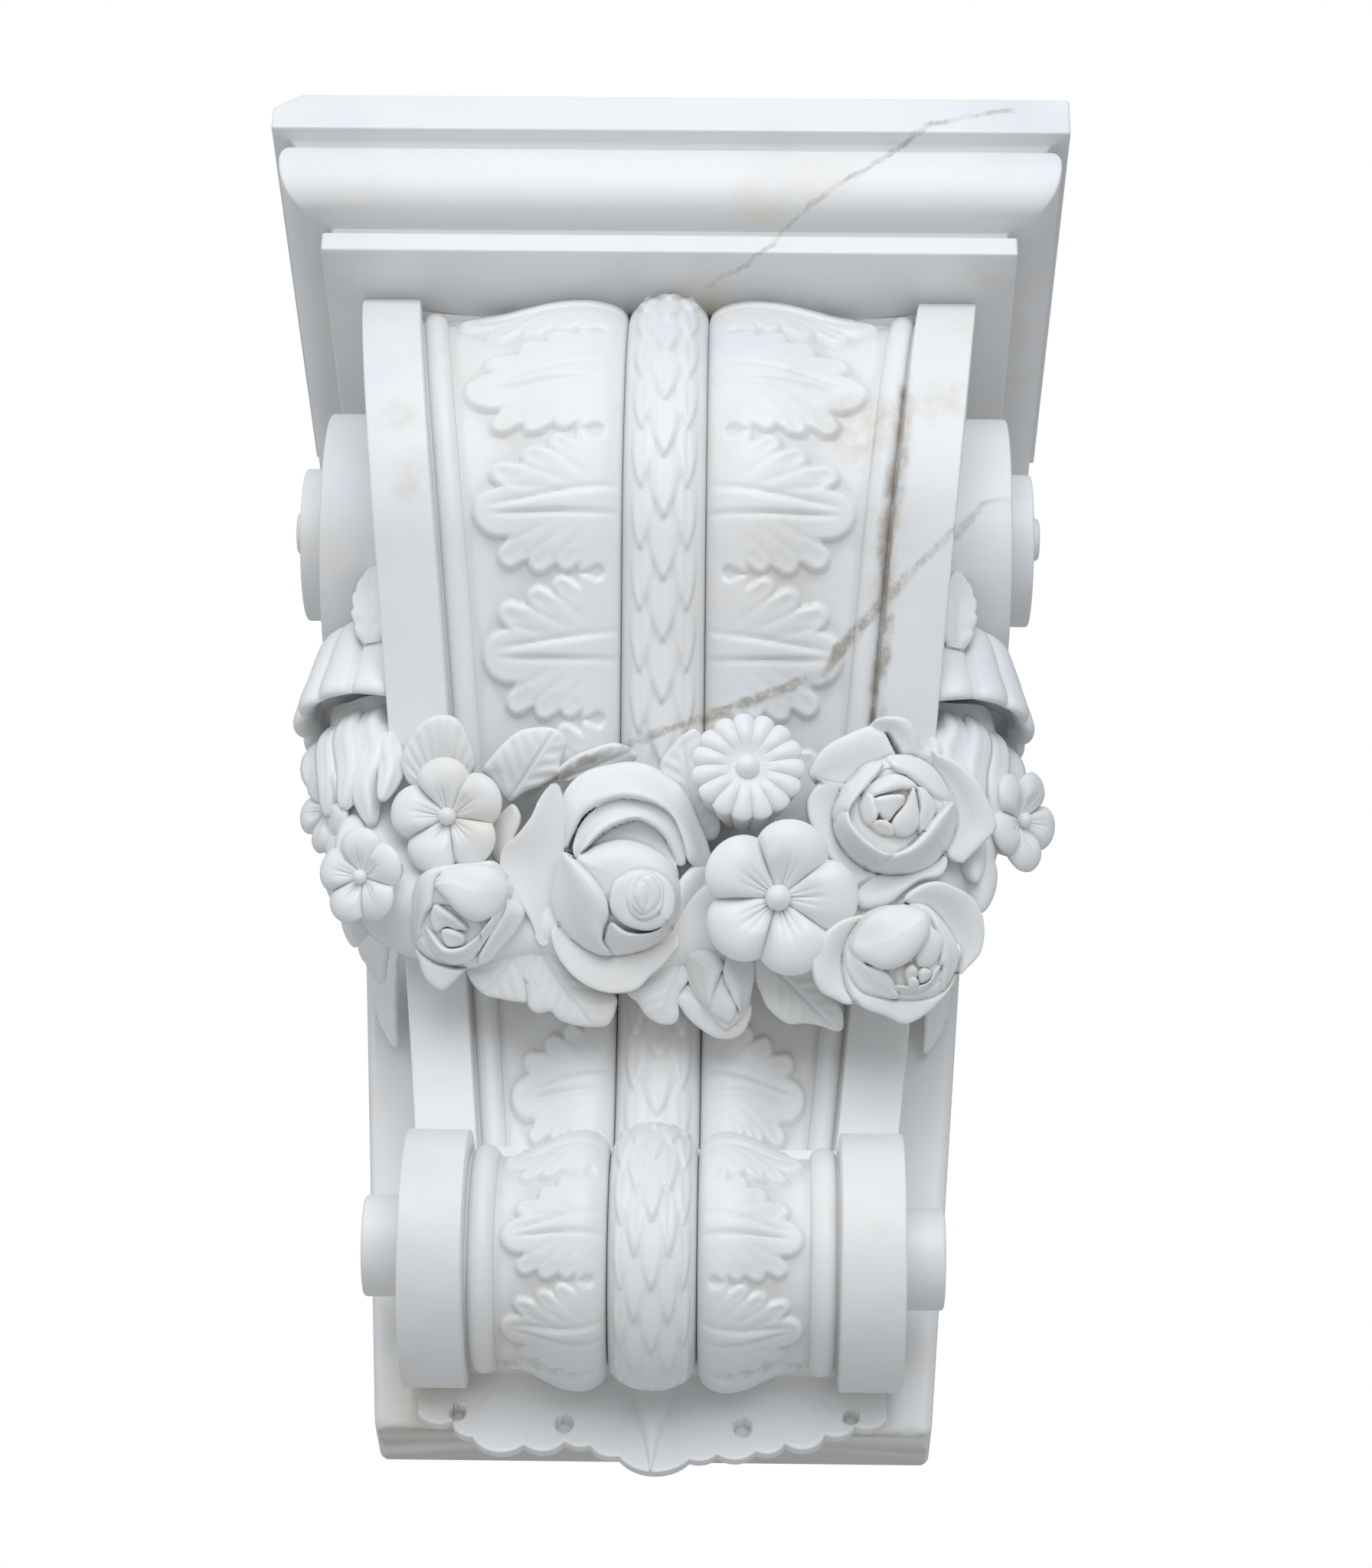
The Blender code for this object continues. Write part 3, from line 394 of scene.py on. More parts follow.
def carved_side(side, s, line, half, leaves, back, fine):
    """Rings of one side: the face, its rounded outer edge, then the flat side and the hidden back.

    The height square to the line is the leaves less the section. Its last stretch falls away as a
    quarter circle.
    """
    y, z, out_y, out_z = (v[:, None] for v in line)
    half = half[:, None]
    x = columns_across(half, fine)
    past = np.clip(x - half + EDGE_ROUND, 0, None) / EDGE_ROUND
    up = calm(leaves(s[:, None], x, half)) - section(x, half)
    up = up - MM * (1 - np.sqrt(np.clip(1 - past ** 2, 0, 1)))
    face = np.stack([side * x, y + out_y * up, z + out_z * up], axis=-1)
    edge = face[:, -1]
    back_y, back_z = back(edge[:, 1], edge[:, 2])
    share = np.array([0.06, 0.2, 0.4, 0.6, 0.8, 1.0])[None, :, None]
    far = np.stack([edge[:, 0], back_y, back_z], axis=-1)
    flank = edge[:, None] + (far - edge)[:, None] * share
    inner = np.stack([side * (ROPE_HALF - 12 * MM) + 0 * back_y, back_y, back_z], axis=-1)[:, None]
    rings = np.concatenate([face, flank, inner, 0.5 * (inner + face[:, :1])], axis=1)
    # The crevice tone of the face: dust and painted shade in the hollows of the relief.
    return ring_stack(rings, np.concatenate([crevices(up), np.zeros((len(s), 8))], axis=1))


def across_panel(x, half):
    """Place across the panel in the leaf's own mm, and where leaves may stand: a mm there, 0 elsewhere."""
    panel = panel_edge(half)
    return (x - ROPE_HALF) / (panel - ROPE_HALF) * LEAF_SPAN, MM * (x > ROPE_HALF - 2 * MM) * (x < panel)


def leaf_rows(s, a, first, step):
    """Leaves one under another, a step apart from the first, as heights in mm."""
    b = (s / MM - first + step / 2) % step - step / 2
    return acanthus(a, b * LEAF_PITCH / step)


print("the edge is rounded over", round(EDGE_ROUND / MM, 1), "mm")

# %% Carve the bracket
FIRST_RIB, RIB_STEP, UPPER_LEAVES, LAST_RIB = 28.0, 78.0, 5, 495.0
FOLDS = ((1.5, 6.5, 2.4), (1.2, 13.5, 2.0))     # height, place and breadth in mm, just under the cap


def bracket_leaves(s, x, half):
    """Heights down the face: two folds, five leaves one under another, and one below the garland."""
    a, ground = across_panel(x, half)
    lower = acanthus(a, (s / MM - LAST_RIB) / 0.92) * soft(s / MM, LAST_RIB - 42, LAST_RIB - 38)
    below = s / MM > FIRST_RIB + RIB_STEP * (UPPER_LEAVES - 0.5)
    height = np.where(below, lower, leaf_rows(s, a, FIRST_RIB, RIB_STEP))
    slanted = s / MM + 0.05 * (a - 40)
    folds = sum(high * bump(slanted - at, breadth) for high, at, breadth in FOLDS)
    return np.maximum(height, folds) * ground


def down_the_face(hidden_from, hidden_to, above, below):
    """Places down the face: close where leaves show, 5 mm apart behind the garland."""
    shown, hidden = np.arange(0, hidden_from, above), np.arange(hidden_from, hidden_to, 5 * MM)
    return np.concatenate([shown, hidden, np.arange(hidden_to, FACE_LENGTH, below)])


def into_plate(y, z):
    """The bracket's hidden back lies inside the plate."""
    return 0 * y - 0.3 * PLATE, z


rows = down_the_face(0.318, 0.446, 1.25 * MM, 1.3 * MM)
line = face_line(rows)
for side, word in SIDES:
    wall = carved_side(side, rows, line, half_width(line[1]), bracket_leaves, into_plate, 80)
    piece(f"bracket_{word}", [wall])

# %% [markdown]
# ## The lower roll
#
# The bracket ends in a roll, a drum that lies across it. It is carved like the face above, so the same
# section is wrapped round an axis. Its leaves are smaller: the formula stays and its inputs are scaled.

# %% Carve the roll
ROLL_FIRST, ROLL_STEP = -42.0, 59.5     # degrees to the first leaf, and mm from leaf to leaf


def roll_line(angle):
    """Y, Z and outward direction round the drum: 0 degrees faces forwards and 90 faces down."""
    c, n = np.cos(np.radians(angle)), np.sin(np.radians(angle))
    return ROLL_Y - ROLL_R * c, ROLL_Z - ROLL_R * n, -c, -n


def roll_leaves(s, x, half):
    """Smaller leaves round the drum, one after another."""
    a, ground = across_panel(x, half)
    return leaf_rows(s, a, math.radians(ROLL_FIRST) * ROLL_R / MM, ROLL_STEP) * 0.85 * ground


def to_axis(y, z):
    """The drum's hidden back: a tenth of its outline, a little behind its axis."""
    return ROLL_Y + 10 * MM + 0.1 * (y - ROLL_Y), ROLL_Z + 0.1 * (z - ROLL_Z)


turn = np.concatenate([np.arange(-180, -75, 5.0), np.arange(-75, 122.5, 1.1), np.arange(125, 181, 5.0)])
for side, word in SIDES:
    halves = np.full(len(turn), ROLL_HALF)
    drum = carved_side(
        side, np.radians(turn) * ROLL_R, roll_line(turn), halves, roll_leaves, to_axis, 60,
    )
    piece(f"roll_{word}", [drum])

# %% [markdown]
# ## The laurel rope
#
# A rope of laurel runs down the middle: columns of pointed leaves that overlap like scales, tips down.
# Each leaf is thin at its root and lifts to its tip, so the height is a ramp inside a pointed outline,
# and the leaf whose tip is next lies on top of the one below.

# %% Laurel scales
LAUREL_PITCH, LAUREL_POINT, LAUREL_LIFT = 32.4, 25.0, 3.9
# Columns of leaves: middle, shift along the rope as a share of the pitch, half a leaf's breadth.
FACE_COLUMNS = ((0.0, 0.0, 9.2), (-14.5, 0.5, 8.0), (14.5, 0.5, 8.0))
ROLL_COLUMNS = ((0.0, 0.0, 7.6), (-9.6, 0.5, 7.0), (9.6, 0.5, 7.0), (-19.5, 0.0, 6.6), (19.5, 0.0, 6.6))


def scale_height(up_from_tip, across, half):
    """One leaf: a ramp that is highest at the tip, inside an outline that opens from a point."""
    reach = np.clip(up_from_tip / LAUREL_POINT, 0, 1)
    edge = half * (1 - (1 - reach) ** 1.7) - np.abs(across)
    body = LAUREL_LIFT * (1 - 0.66 * up_from_tip / LAUREL_PITCH)
    body = body - bump(across, 0.9) * soft(up_from_tip, 2, 9) - 0.9 * (across / half) ** 2
    return np.where(up_from_tip > 0, body * quarter(edge, 2.0), -1.0)


def laurel(s, across, columns):
    """The greatest of the overlapping leaves' heights, each leaf with the older one above it."""
    s, across = s / MM, across / MM
    height = np.full(np.broadcast(s, across).shape, -0.4)
    for middle, shift, half in columns:
        ahead = (shift * LAUREL_PITCH - s) % LAUREL_PITCH
        for older in (0, 1):
            leaf = scale_height(ahead + older * LAUREL_PITCH, across - middle, half)
            height = np.maximum(height, leaf)
    return height * MM


print("leaf columns on the face and on the roll:", len(FACE_COLUMNS), len(ROLL_COLUMNS))


# %% Carve the rope
def rope_rings(s, line, fade, columns):
    """Rings of the rope: a flattened half round with the leaves on it, and a flat foot in the groove."""
    y, z, out_y, out_z = (v[:, None] for v in line)
    lie = np.radians(np.linspace(-88, 88, 60))[None]
    grain = calm(laurel(s[:, None], lie * 0.0255, columns)) * fade[:, None]
    x = (ROPE_HALF - 0.6 * MM + grain * 0.5) * np.sin(lie)
    up = -ROPE_SINK + (ROPE_SINK + ROPE_PROUD) * np.cos(lie) ** 0.92
    up = up + grain * (0.35 + 0.65 * np.cos(lie))
    rings = [np.stack([x, y + out_y * up, z + out_z * up], axis=-1)]
    deep = ROPE_SINK + 5 * MM
    for across in (0.9, -0.9):
        foot = [across * ROPE_HALF + 0 * y, y - out_y * deep, z - out_z * deep]
        rings.append(np.concatenate(foot, axis=1)[:, None])
    # The crevice tone between the laurel leaves, for dust and painted shade.
    tone = np.concatenate([crevices(grain, 5), np.zeros((len(s), 2))], axis=1)
    return ring_stack(np.concatenate(rings, axis=1), tone)


rows = down_the_face(0.325, 0.45, 1.1 * MM, 1.1 * MM)
piece("laurel_rope", [rope_rings(rows, face_line(rows), soft(rows, -2 * MM, 9 * MM), FACE_COLUMNS)])
turn = np.arange(-102, 100.1, 0.85)
ends = soft(turn, -102, -92) * soft(-turn, -100, -92)
on_roll = rope_rings(np.radians(turn + 102) * ROLL_R, roll_line(turn), ends, ROLL_COLUMNS)
piece("laurel_rope_on_roll", [on_roll])

# %% [markdown]
# ## The cap
#
# The moulded cap is a profile carried round three sides of a rectangle: a slab, a dark quirk, a half
# round, a small cove and a bed strip. The corners are slightly worn, and the front left corner of the
# slab is broken off, so near it the points are pressed back onto a few rough planes.

# %% Profile of the cap
def arc(inset, z, radius, start, end, count):
    """Points of an arc in the profile, from one angle to another."""
    angle = np.radians(np.linspace(start, end, count))
    return np.stack([inset - radius * np.cos(angle), z + radius * np.sin(angle)], axis=-1)


def run(insets, levels):
    """Points of the profile from their insets and levels, either of them a single value or many."""
    return np.stack(np.broadcast_arrays(insets, levels), axis=-1)


WORN, COVE_IN, BED_IN = 1.3 * MM, 34.0 * MM, 29.0 * MM
BED_TOP = BED_BOTTOM + BED
round_top, round_bottom = SLAB_UNDER - 4.5 * MM, SLAB_UNDER - QUIRK - HALF_ROUND
round_mid = round_top - 13 * MM
swing = np.radians(np.linspace(86, -90, 30))
depth = np.where(swing > 0, 9.0, 16.0) * MM
height = np.where(swing > 0, round_top - round_mid, round_mid - round_bottom)
top_insets = np.array([60, 45, 34, 27, 22, 18, 15, 12, 9.5, 7, 5, 3.2, 2.0]) * MM
cap_profile = np.concatenate([
    run(top_insets, TOP_Z),
    arc(WORN, TOP_Z - WORN, WORN, 90, 0, 5),
    run(0.0, np.linspace(TOP_Z - 2.2 * MM, SLAB_UNDER + 1.6 * MM, 16)),
    arc(WORN, SLAB_UNDER + WORN, WORN, 0, -90, 5),
    [[9.0 * MM, SLAB_UNDER + 0.1 * MM], [10.5 * MM, SLAB_UNDER - MM], [12.5 * MM, round_top + 0.6 * MM]],
    run(5.0 * MM + depth * (1 - np.cos(swing) ** 0.9), round_mid + height * np.sin(swing)),
    [[COVE_IN - 3 * MM, round_bottom - 0.2 * MM], [COVE_IN - 0.8 * MM, round_bottom - MM]],
    [[COVE_IN, round_bottom - 3.2 * MM], [COVE_IN, BED_TOP + 0.3 * MM], [BED_IN + 0.9 * MM, BED_TOP]],
    arc(BED_IN + WORN, BED_TOP - WORN, WORN, 80, 0, 5),
    run(BED_IN, np.linspace(BED_TOP - 2 * MM, BED_BOTTOM + 2 * MM, 6)),
    arc(BED_IN + WORN, BED_BOTTOM + WORN, WORN, 0, -90, 5),
    run([BED_IN + 6 * MM, BED_IN + 30 * MM], BED_BOTTOM),
])
print("points in the cap's profile:", len(cap_profile))


# %% Loops round three sides
def three_sided(left, front, z):
    """A level loop: up the left side, along the front, and back along the left side's mirror image."""
    loop = np.concatenate([left, front, left[::-1] * [-1, 1]])
    return np.concatenate([loop, np.full((len(loop), 1), z)], axis=-1)


def left_side(half, front, r, down, turns):
    """The left side to its depths, then a round corner as a quarter circle of radius r."""
    turn = np.radians(turns)
    corner = np.stack([-half + r - r * np.cos(turn), front + r - r * np.sin(turn)], axis=-1)
    return np.concatenate([run(-half, down), corner])


loop = three_sided(left_side(1, -1, 0.1, [0, -0.5], [0, 45, 90]), run([0.0], -1), 0)
print("a loop about a square, with round front corners:", len(loop), "points")


# %% Carry the profile round the cap
def cap_ring(inset, z):
    """The loop round the cap at one inset: points crowd at the front left corner, which is broken."""
    half, front, r = WIDTH / 2 - inset, -DEPTH + inset, 1.5 * MM
    near = 0.72 + 0.28 * (1 - np.linspace(1, 0, 30) ** 1.5)
    down = np.concatenate([np.linspace(0, 0.72, 14)[:-1], near]) * (front + r)
    crowded = (1 - np.linspace(1, 0, 34)) ** 1.6 * 0.14
    share = np.concatenate([crowded, np.linspace(0.14, 1, 56)[1:]])[1:-1]
    left = left_side(half, front, r, down, np.linspace(0, 90, 6)[1:])
    return three_sided(left, run((2 * share - 1) * (half - r), front), z)


BREAKS = (((-0.62, -0.20, 0.76), 6.6), ((-0.80, -0.50, 0.34), 3.2), ((-0.42, -0.66, 0.62), 7.2))


def break_corner(points):
    """Press points back onto planes across the slab's corner, each made rough by a few waves."""
    corner = np.array([-WIDTH / 2, -DEPTH, TOP_Z])
    for normal, depth in BREAKS:
        normal = unit(normal)
        local = (points - corner) / MM
        x, y, z = (local[..., i] for i in range(3))
        rough = 0.45 * np.sin(x * 0.9 + 1.3 * np.cos(z * 0.7)) * np.cos(y * 0.6)
        over = local @ normal + depth + rough
        near = np.linalg.norm(local, axis=-1) < 60
        points = points - np.where(near & (over > 0), over, 0)[..., None] * normal * MM
    return points


cap = np.stack([cap_ring(inset, z) for inset, z in cap_profile])
cap[:, :, 1] = np.minimum(cap[:, :, 1], 0)
piece("abacus", [ring_stack(break_corner(cap))], sharp=48)

# %% [markdown]
# ## The back plate
#
# The bracket stands in front of a plain slab that lies against the wall and narrows downwards. Its
# corners are rubbed round, and its bottom edge was left rough from the pitching chisel.

# %% The plate
PLATE_CORNER, PLATE_HALF, PLATE_SPREAD = 6 * MM, 142.9 * MM, 0.0758


def plate_ring(z, inset):
    """The outline at one height: the flat back, round front corners, the flat front."""
    half, front, r = PLATE_HALF + PLATE_SPREAD * (z - PLATE_BOTTOM) - inset, -PLATE + inset, PLATE_CORNER
    left = left_side(half, front, r, np.linspace(0, front + r, 7)[:-1], np.linspace(0, 90, 9))
    return three_sided(left, run(np.linspace(-half + r, half - r, 60)[1:-1], front), z)


chamfer = np.array([(0, 4.0), (0.5, 2.2), (1.4, 1.0), (2.6, 0.35), (4.0, 0.1), (6.0, 0)]) * MM
even = np.linspace(PLATE_BOTTOM + 12 * MM, BED_BOTTOM + 0.05 * MM, 40)
levels, insets = np.concatenate([chamfer + [PLATE_BOTTOM, 0], run(even, 0.0)]).T
plate = np.stack([plate_ring(z, inset) for z, inset in zip(levels, insets)])
rough = np.sin(plate[..., 0] * 310 + 3 * np.sin(plate[..., 1] * 170)) * np.cos(plate[..., 0] * 127 + 1.7)
plate[..., 2] += 0.9 * MM * rough * soft(PLATE_BOTTOM + 9 * MM - plate[..., 2], 0, 9 * MM)
piece("back_plate", [ring_stack(plate)], sharp=60)

# %% The stone inside the roll
half, near, far = ROLL_HALF - 6 * MM, ROLL_Y - 15 * MM, -12 * MM
corners = np.array([(-half, near), (half, near), (half, far), (-half, far)])
levels = (ROLL_Z + MM * v for v in (-47, -45, 54, 56))
piece("roll_core", [ring_stack(np.stack([np.insert(corners, 2, z, axis=1) for z in levels]))])

# %% [markdown]
# ## The scrolls at the sides
#
# Seen from the side, the bracket's scroll winds inwards and steps outwards, like a drawn-out spring.
# A spiral that shrinks by the same ratio each turn is the classic line for it. The band between two
# turns is a rectangle carried along that line, and its outer face climbs a step at the back.

# %% Parts of a side scroll
SPIRAL_R, SPIRAL_RATIO, SPIRAL_TURNS = 99.2 * MM, 0.54, 3.0
STEP_OUT, STEP_IN, BUTTON_OUT, BUTTON_R = 27.0 * MM, 41.5 * MM, 47.0 * MM, 11.9 * MM
SCROLL_SIDE = half_width(SCROLL_Z)


def scroll_band(axes):
    """The band's section at each winding: outer wall, rounded edge, face, and a foot inside the stone."""
    t = np.linspace(-0.13, SPIRAL_TURNS, 340)[:, None]
    outer, inner = SPIRAL_R * SPIRAL_RATIO ** t, SPIRAL_R * SPIRAL_RATIO ** (t + 1) - 0.4 * MM
    top = SCROLL_SIDE + STEP_OUT * soft(t, -0.14, 0.14) + (STEP_IN - STEP_OUT) * soft(t, 0.86, 1.14)
    foot = SCROLL_SIDE - 14 * MM + 0 * t
    r, turn = 1.6 * MM, np.radians(np.linspace(0, 90, 6))[None]
    wall, rim = outer - r + r * np.cos(turn), top - r + r * np.sin(turn)
    radius = [outer, outer, wall, 0.5 * (outer + inner), inner + 1.2 * MM, inner, inner]
    out = [foot, 0.5 * (foot + top), rim, top, top, top - 0.9 * MM, foot]
    radius, out = np.concatenate(radius, axis=1), np.concatenate(out, axis=1)
    return ring_stack(around((0, SCROLL_Y, SCROLL_Z), axes, radius, 2 * np.pi * t, out))


def turned_disc(axes, x0, x1, y, z, radius, edge):
    """A drum across the bracket with a rounded rim and a flat face."""
    angle = np.linspace(0, 2 * np.pi, 72, endpoint=False)[None]
    turn = np.radians(np.linspace(0, 90, 6))
    flat = radius - edge
    r = np.concatenate([[radius, radius], flat + edge * np.cos(turn), flat * np.array([0.9, 0.6, 0.3])])
    x = np.concatenate([[x0, 0.5 * (x0 + x1)], x1 - edge + edge * np.sin(turn), [x1] * 3])
    return ring_stack(around((0, y, z), axes, r[:, None], angle, x[:, None]))


print("the scroll's button stands out", round(BUTTON_OUT / MM), "mm")

# %% Wind the side scrolls
ACROSS_LEFT, ACROSS_RIGHT = (((0, 1, 0), (0, 0, -1), (side, 0, 0)) for side, _ in SIDES)
EYE_R, EYE_OUT, EYE_Y = 25.7 * MM, 21.0 * MM, ROLL_Y - 6.2 * MM
for word, axes, eye_z in (
    ("left", ACROSS_LEFT, ROLL_Z + 3.6 * MM), ("right", ACROSS_RIGHT, ROLL_Z - 0.9 * MM),
):
    middle = (SCROLL_Y, SCROLL_Z)
    button = turned_disc(axes, SCROLL_SIDE, SCROLL_SIDE + BUTTON_OUT, *middle, BUTTON_R, 2.5 * MM)
    ground = SCROLL_SIDE + STEP_IN - 4 * MM
    filling = turned_disc(axes, SCROLL_SIDE - 4 * MM, ground, *middle, BUTTON_R + 4.5 * MM, 0.5 * MM)
    piece(f"scroll_side_{word}", [scroll_band(axes), button, filling], sharp=50)
    eye = turned_disc(axes, ROLL_HALF * 0.8, ROLL_HALF + EYE_OUT, EYE_Y, eye_z, EYE_R, 2.0 * MM)
    piece(f"roll_eye_{word}", [eye], sharp=50)

# %% [markdown]
# ## The leaf under the roll
#
# A broad leaf hangs under the roll with its edge curling forwards. Its edge is a row of round lobes, and
# drilled holes end the cuts between them. The lobes are half circles along the edge: the leaf's depth
# at a place is the deepest of the circles there.

# %% The edge of the foot leaf
FOOT_TOP, FOOT_Y = ROLL_Z - 45.4 * MM, -PLATE - 14.7 * MM
# Middle, radius and lowest point of each lobe, and place and radius of each drilled hole, in mm.
FOOT_LOBES = (
    (-108, 13, -31), (-92, 9, -38.5), (-76, 16, -48), (-55, 13, -47), (-36, 11, -44), (-20, 12, -50),
    (2, 22, -59.5), (24, 12, -52), (42, 13, -51), (58, 10, -47), (76, 12, -44), (93, 11, -36),
    (109, 12, -31),
)
FOOT_HOLES = ((-99, -24, 4.0), (-44.5, -30, 4.5), (46, -31, 4.5), (101, -24, 4.0))


def foot_edge(x):
    """Depth of the leaf's edge below its top, in mm: the deepest of the lobes' circles at x."""
    depth = np.full(x.shape, 20.0) - 4 * np.abs(x / 120) ** 3
    for middle, radius, low in FOOT_LOBES:
        ring = -low - radius + np.sqrt(np.clip(radius ** 2 - (x - middle) ** 2, 0, None))
        depth = np.where(np.abs(x - middle) < radius, np.maximum(depth, ring), depth)
    return depth


across = np.linspace(-119, 119, 300)
down = np.concatenate([np.linspace(0, 0.9, 24)[:-1], 1 - 0.1 * (1 - np.linspace(0, 1, 12)) ** 1.6])
X, V = np.meshgrid(across, down)
edge = foot_edge(X)
D = V * edge
print("the foot leaf hangs down", round(float(D.max()), 1), "mm")

# %% Carve the foot leaf
carving = 1.4 * quarter(edge - D, 3.0) - 0.5
for x, z, radius in FOOT_HOLES:
    carving = carving - 7.0 * (1 - soft(np.hypot(X - x, D + z), radius - 0.9, radius + 0.5))
for (x0, _, low0), (x1, _, low1) in zip(FOOT_LOBES, FOOT_LOBES[1:]):
    away, t = segment(X, -D, 0.5 * (x0 + x1), max(low0, low1) + 6, 0.35 * (x0 + x1), -2)
    carving = carving - 0.35 * (1 - t) * bump(away, 1.4)
curl = 13.0 * (D / 60) ** 2
front = FOOT_Y - MM * (curl + 3.0 + carving)
behind = FOOT_Y - MM * (curl - 9.0 * quarter(edge - D + 0.4, 9.0))
z = FOOT_TOP - MM * D
sheets = (np.stack([X * MM, y, z], axis=-1) for y in (front, np.maximum(behind, front + MM)))
# The crevice tone gives dust and painted shade in the leaf's cuts and holes.
leaf = shell(*sheets, crevices(-front + FOOT_Y - curl * MM, 4))
v = np.linspace(0, 1, 40)[:, None]
angle = np.radians(np.linspace(-90, 90, 24))[None]
proud = MM * (13 * v ** 2 + 3 + (12 - 6 * v) * np.cos(angle) ** 1.3)
spike = np.stack([
    (15 - 14 * v) * MM * np.sin(angle), FOOT_Y + 4 * MM - proud, FOOT_TOP - 59 * MM * v + 0 * angle,
], axis=-1)
piece("foot_leaf", [leaf, ring_stack(spike)], sharp=60)

# %% [markdown]
# ## Roses
#
# A carved rose isn't a bunch of loose petals: it is one lump, and each petal is a smooth patch that
# stands a few millimetres above the one behind it, with a fine groove along its edge. So a rose is
# painted in heights, from the outermost petal to the bud. Each petal is a skin stretched over its own
# rim, and the rim is a closed line through a few points: mm across, mm up and mm out.

# %% A smooth closed line
FINE = 8        # stretches between two points of a rim


def cubic(a, b, c, d, f):
    """The stretch from b to c of a smooth line through four points, at the share f of it."""
    bend, twist = 2 * a - 5 * b + 4 * c - d, 3 * b - a - 3 * c + d
    return 0.5 * (2 * b + (c - a) * f + bend * f ** 2 + twist * f ** 3)


def closed_line(points):
    """A smooth closed line through the points."""
    p = np.asarray(points, float)
    f = (np.arange(FINE) / FINE)[:, None, None]
    line = cubic(np.roll(p, 1, 0), p, np.roll(p, -1, 0), np.roll(p, -2, 0), f)
    return line.transpose(1, 0, 2).reshape(-1, p.shape[1])


square = ((-10, -10, 0), (10, -10, 0), (10, 10, 4), (-10, 10, 4))
print("points on a rim of", len(square), "corners:", len(closed_line(square)))


# %% A petal is a skin over its rim
def skin(x, y, rim):
    """How many mm each place lies inside the rim, and the rim's heights spread over it by nearness."""
    line = closed_line(rim)
    edge = np.roll(line, -1, 0) - line
    dx, dy = x[:, None] - line[:, 0], y[:, None] - line[:, 1]
    long = edge[:, 0] ** 2 + edge[:, 1] ** 2 + 1e-9
    t = np.clip((dx * edge[:, 0] + dy * edge[:, 1]) / long, 0, 1)
    away = np.hypot(dx - t * edge[:, 0], dy - t * edge[:, 1])
    passes = (dy < 0) != (dy < edge[:, 1])
    left_of = dx < dy * edge[:, 0] / np.where(edge[:, 1] == 0, 1, edge[:, 1])
    odd = (passes & left_of).sum(axis=1) % 2
    weight = np.sqrt(long) / (away + 0.5) ** 3
    level = (weight * (line[:, 2] + t * edge[:, 2])).sum(axis=1) / weight.sum(axis=1)
    return np.where(odd == 1, 1, -1) * away.min(axis=1), level


inside, level = skin(np.zeros(1), np.zeros(1), square)
print("the middle of a square petal:", inside.round(1), "mm inside and", level.round(1), "mm high")


# %% Lay the petals one over another
def petal_layers(x, y, petals):
    """Heights in mm: each petal lays its own over those before it, swollen by so many mm, with a soft rim."""
    height = np.full(x.shape, -3.0)
    for swell, rim in petals:
        points = np.array(rim, float)
        (x0, y0), (x1, y1) = points[:, :2].min(axis=0) - 4, points[:, :2].max(axis=0) + 4
        near = (x > x0) & (x < x1) & (y > y0) & (y < y1)
        inside, own = skin(x[near], y[near], points)
        own = own + swell * (1 - np.exp(-np.clip(inside, 0, None) / 6)) - 1.5 * (1 - quarter(inside, 3.0))
        cover = soft(inside, -0.3, 0.3)
        groove = 0.5 * bump(np.clip(-inside, 0, None), 1.2)
        height[near] = cover * own + (1 - cover) * (height[near] - groove)
    return height


def common_outline(middle, petals, angle):
    """The farthest crossing of a ray at each angle with any of the rims."""
    lines = [closed_line(rim)[:, :2] - middle for _, rim in petals]
    start = np.concatenate(lines)
    edge = np.concatenate([np.roll(line, -1, 0) - line for line in lines])
    c, s = np.cos(angle)[:, None], np.sin(angle)[:, None]
    slant = c * edge[:, 1] - s * edge[:, 0]
    slant = np.where(np.abs(slant) < 1e-9, 1e-9, slant)
    far = (start[:, 0] * edge[:, 1] - start[:, 1] * edge[:, 0]) / slant
    share = (start[:, 0] * s - start[:, 1] * c) / slant
    return np.where((share >= 0) & (share <= 1) & (far > 0), far, 0).max(axis=1)


print("a ray leaves that petal at", np.round(common_outline(0, [(0, square)], np.zeros(1)), 1), "mm")


# %% One carved lump
def relief(centre, normal, petals, columns=280, steps=86, depth=26, ribs=None):
    """A round grid out to the common outline, raised by the petals' heights, with walls that run back."""
    right, up, out = axes_of(normal)
    middle = np.concatenate([np.array(rim, float)[:, :2] for _, rim in petals]).mean(axis=0)
    angle = np.linspace(0, 2 * np.pi, columns, endpoint=False)
    edge = common_outline(middle, petals, angle)
    kernel = np.array([1, 2, 3, 2, 1]) / 9.0
    edge = np.convolve(np.concatenate([edge[-2:], edge, edge[:2]]), kernel, mode="valid")
    share = np.linspace(0.006, 1.0, steps)[:, None]
    x, y = middle[0] + share * edge * np.cos(angle), middle[1] + share * edge * np.sin(angle)
    height = petal_layers(x, y, petals)
    if ribs:
        height = height + ribs(x, y) * soft(-share, -1.0, -0.8)
    # The crevice tone, for dust and painted shade between the petals.
    tone = 0.7 * crevices(height * MM, 4)
    back = np.array([(0.985, 1.2), (0.94, 4.0), (0.86, 9.0), (0.76, 0.62 * depth), (0.64, depth)])
    x = np.concatenate([x, middle[0] + back[:, :1] * (x[-1:] - middle[0])])
    y = np.concatenate([y, middle[1] + back[:, :1] * (y[-1:] - middle[1])])
    height = np.concatenate([height, height[-1:] - back[:, 1:]])
    points = np.array(centre) + MM * (x[..., None] * right + y[..., None] * up + height[..., None] * out)
    return ring_stack(points, np.concatenate([tone, np.zeros((len(back), columns))]))


print("points of that petal carved alone:", len(relief((0, 0, 0), FORWARD, [(0, square)], 40, 12)[0]))

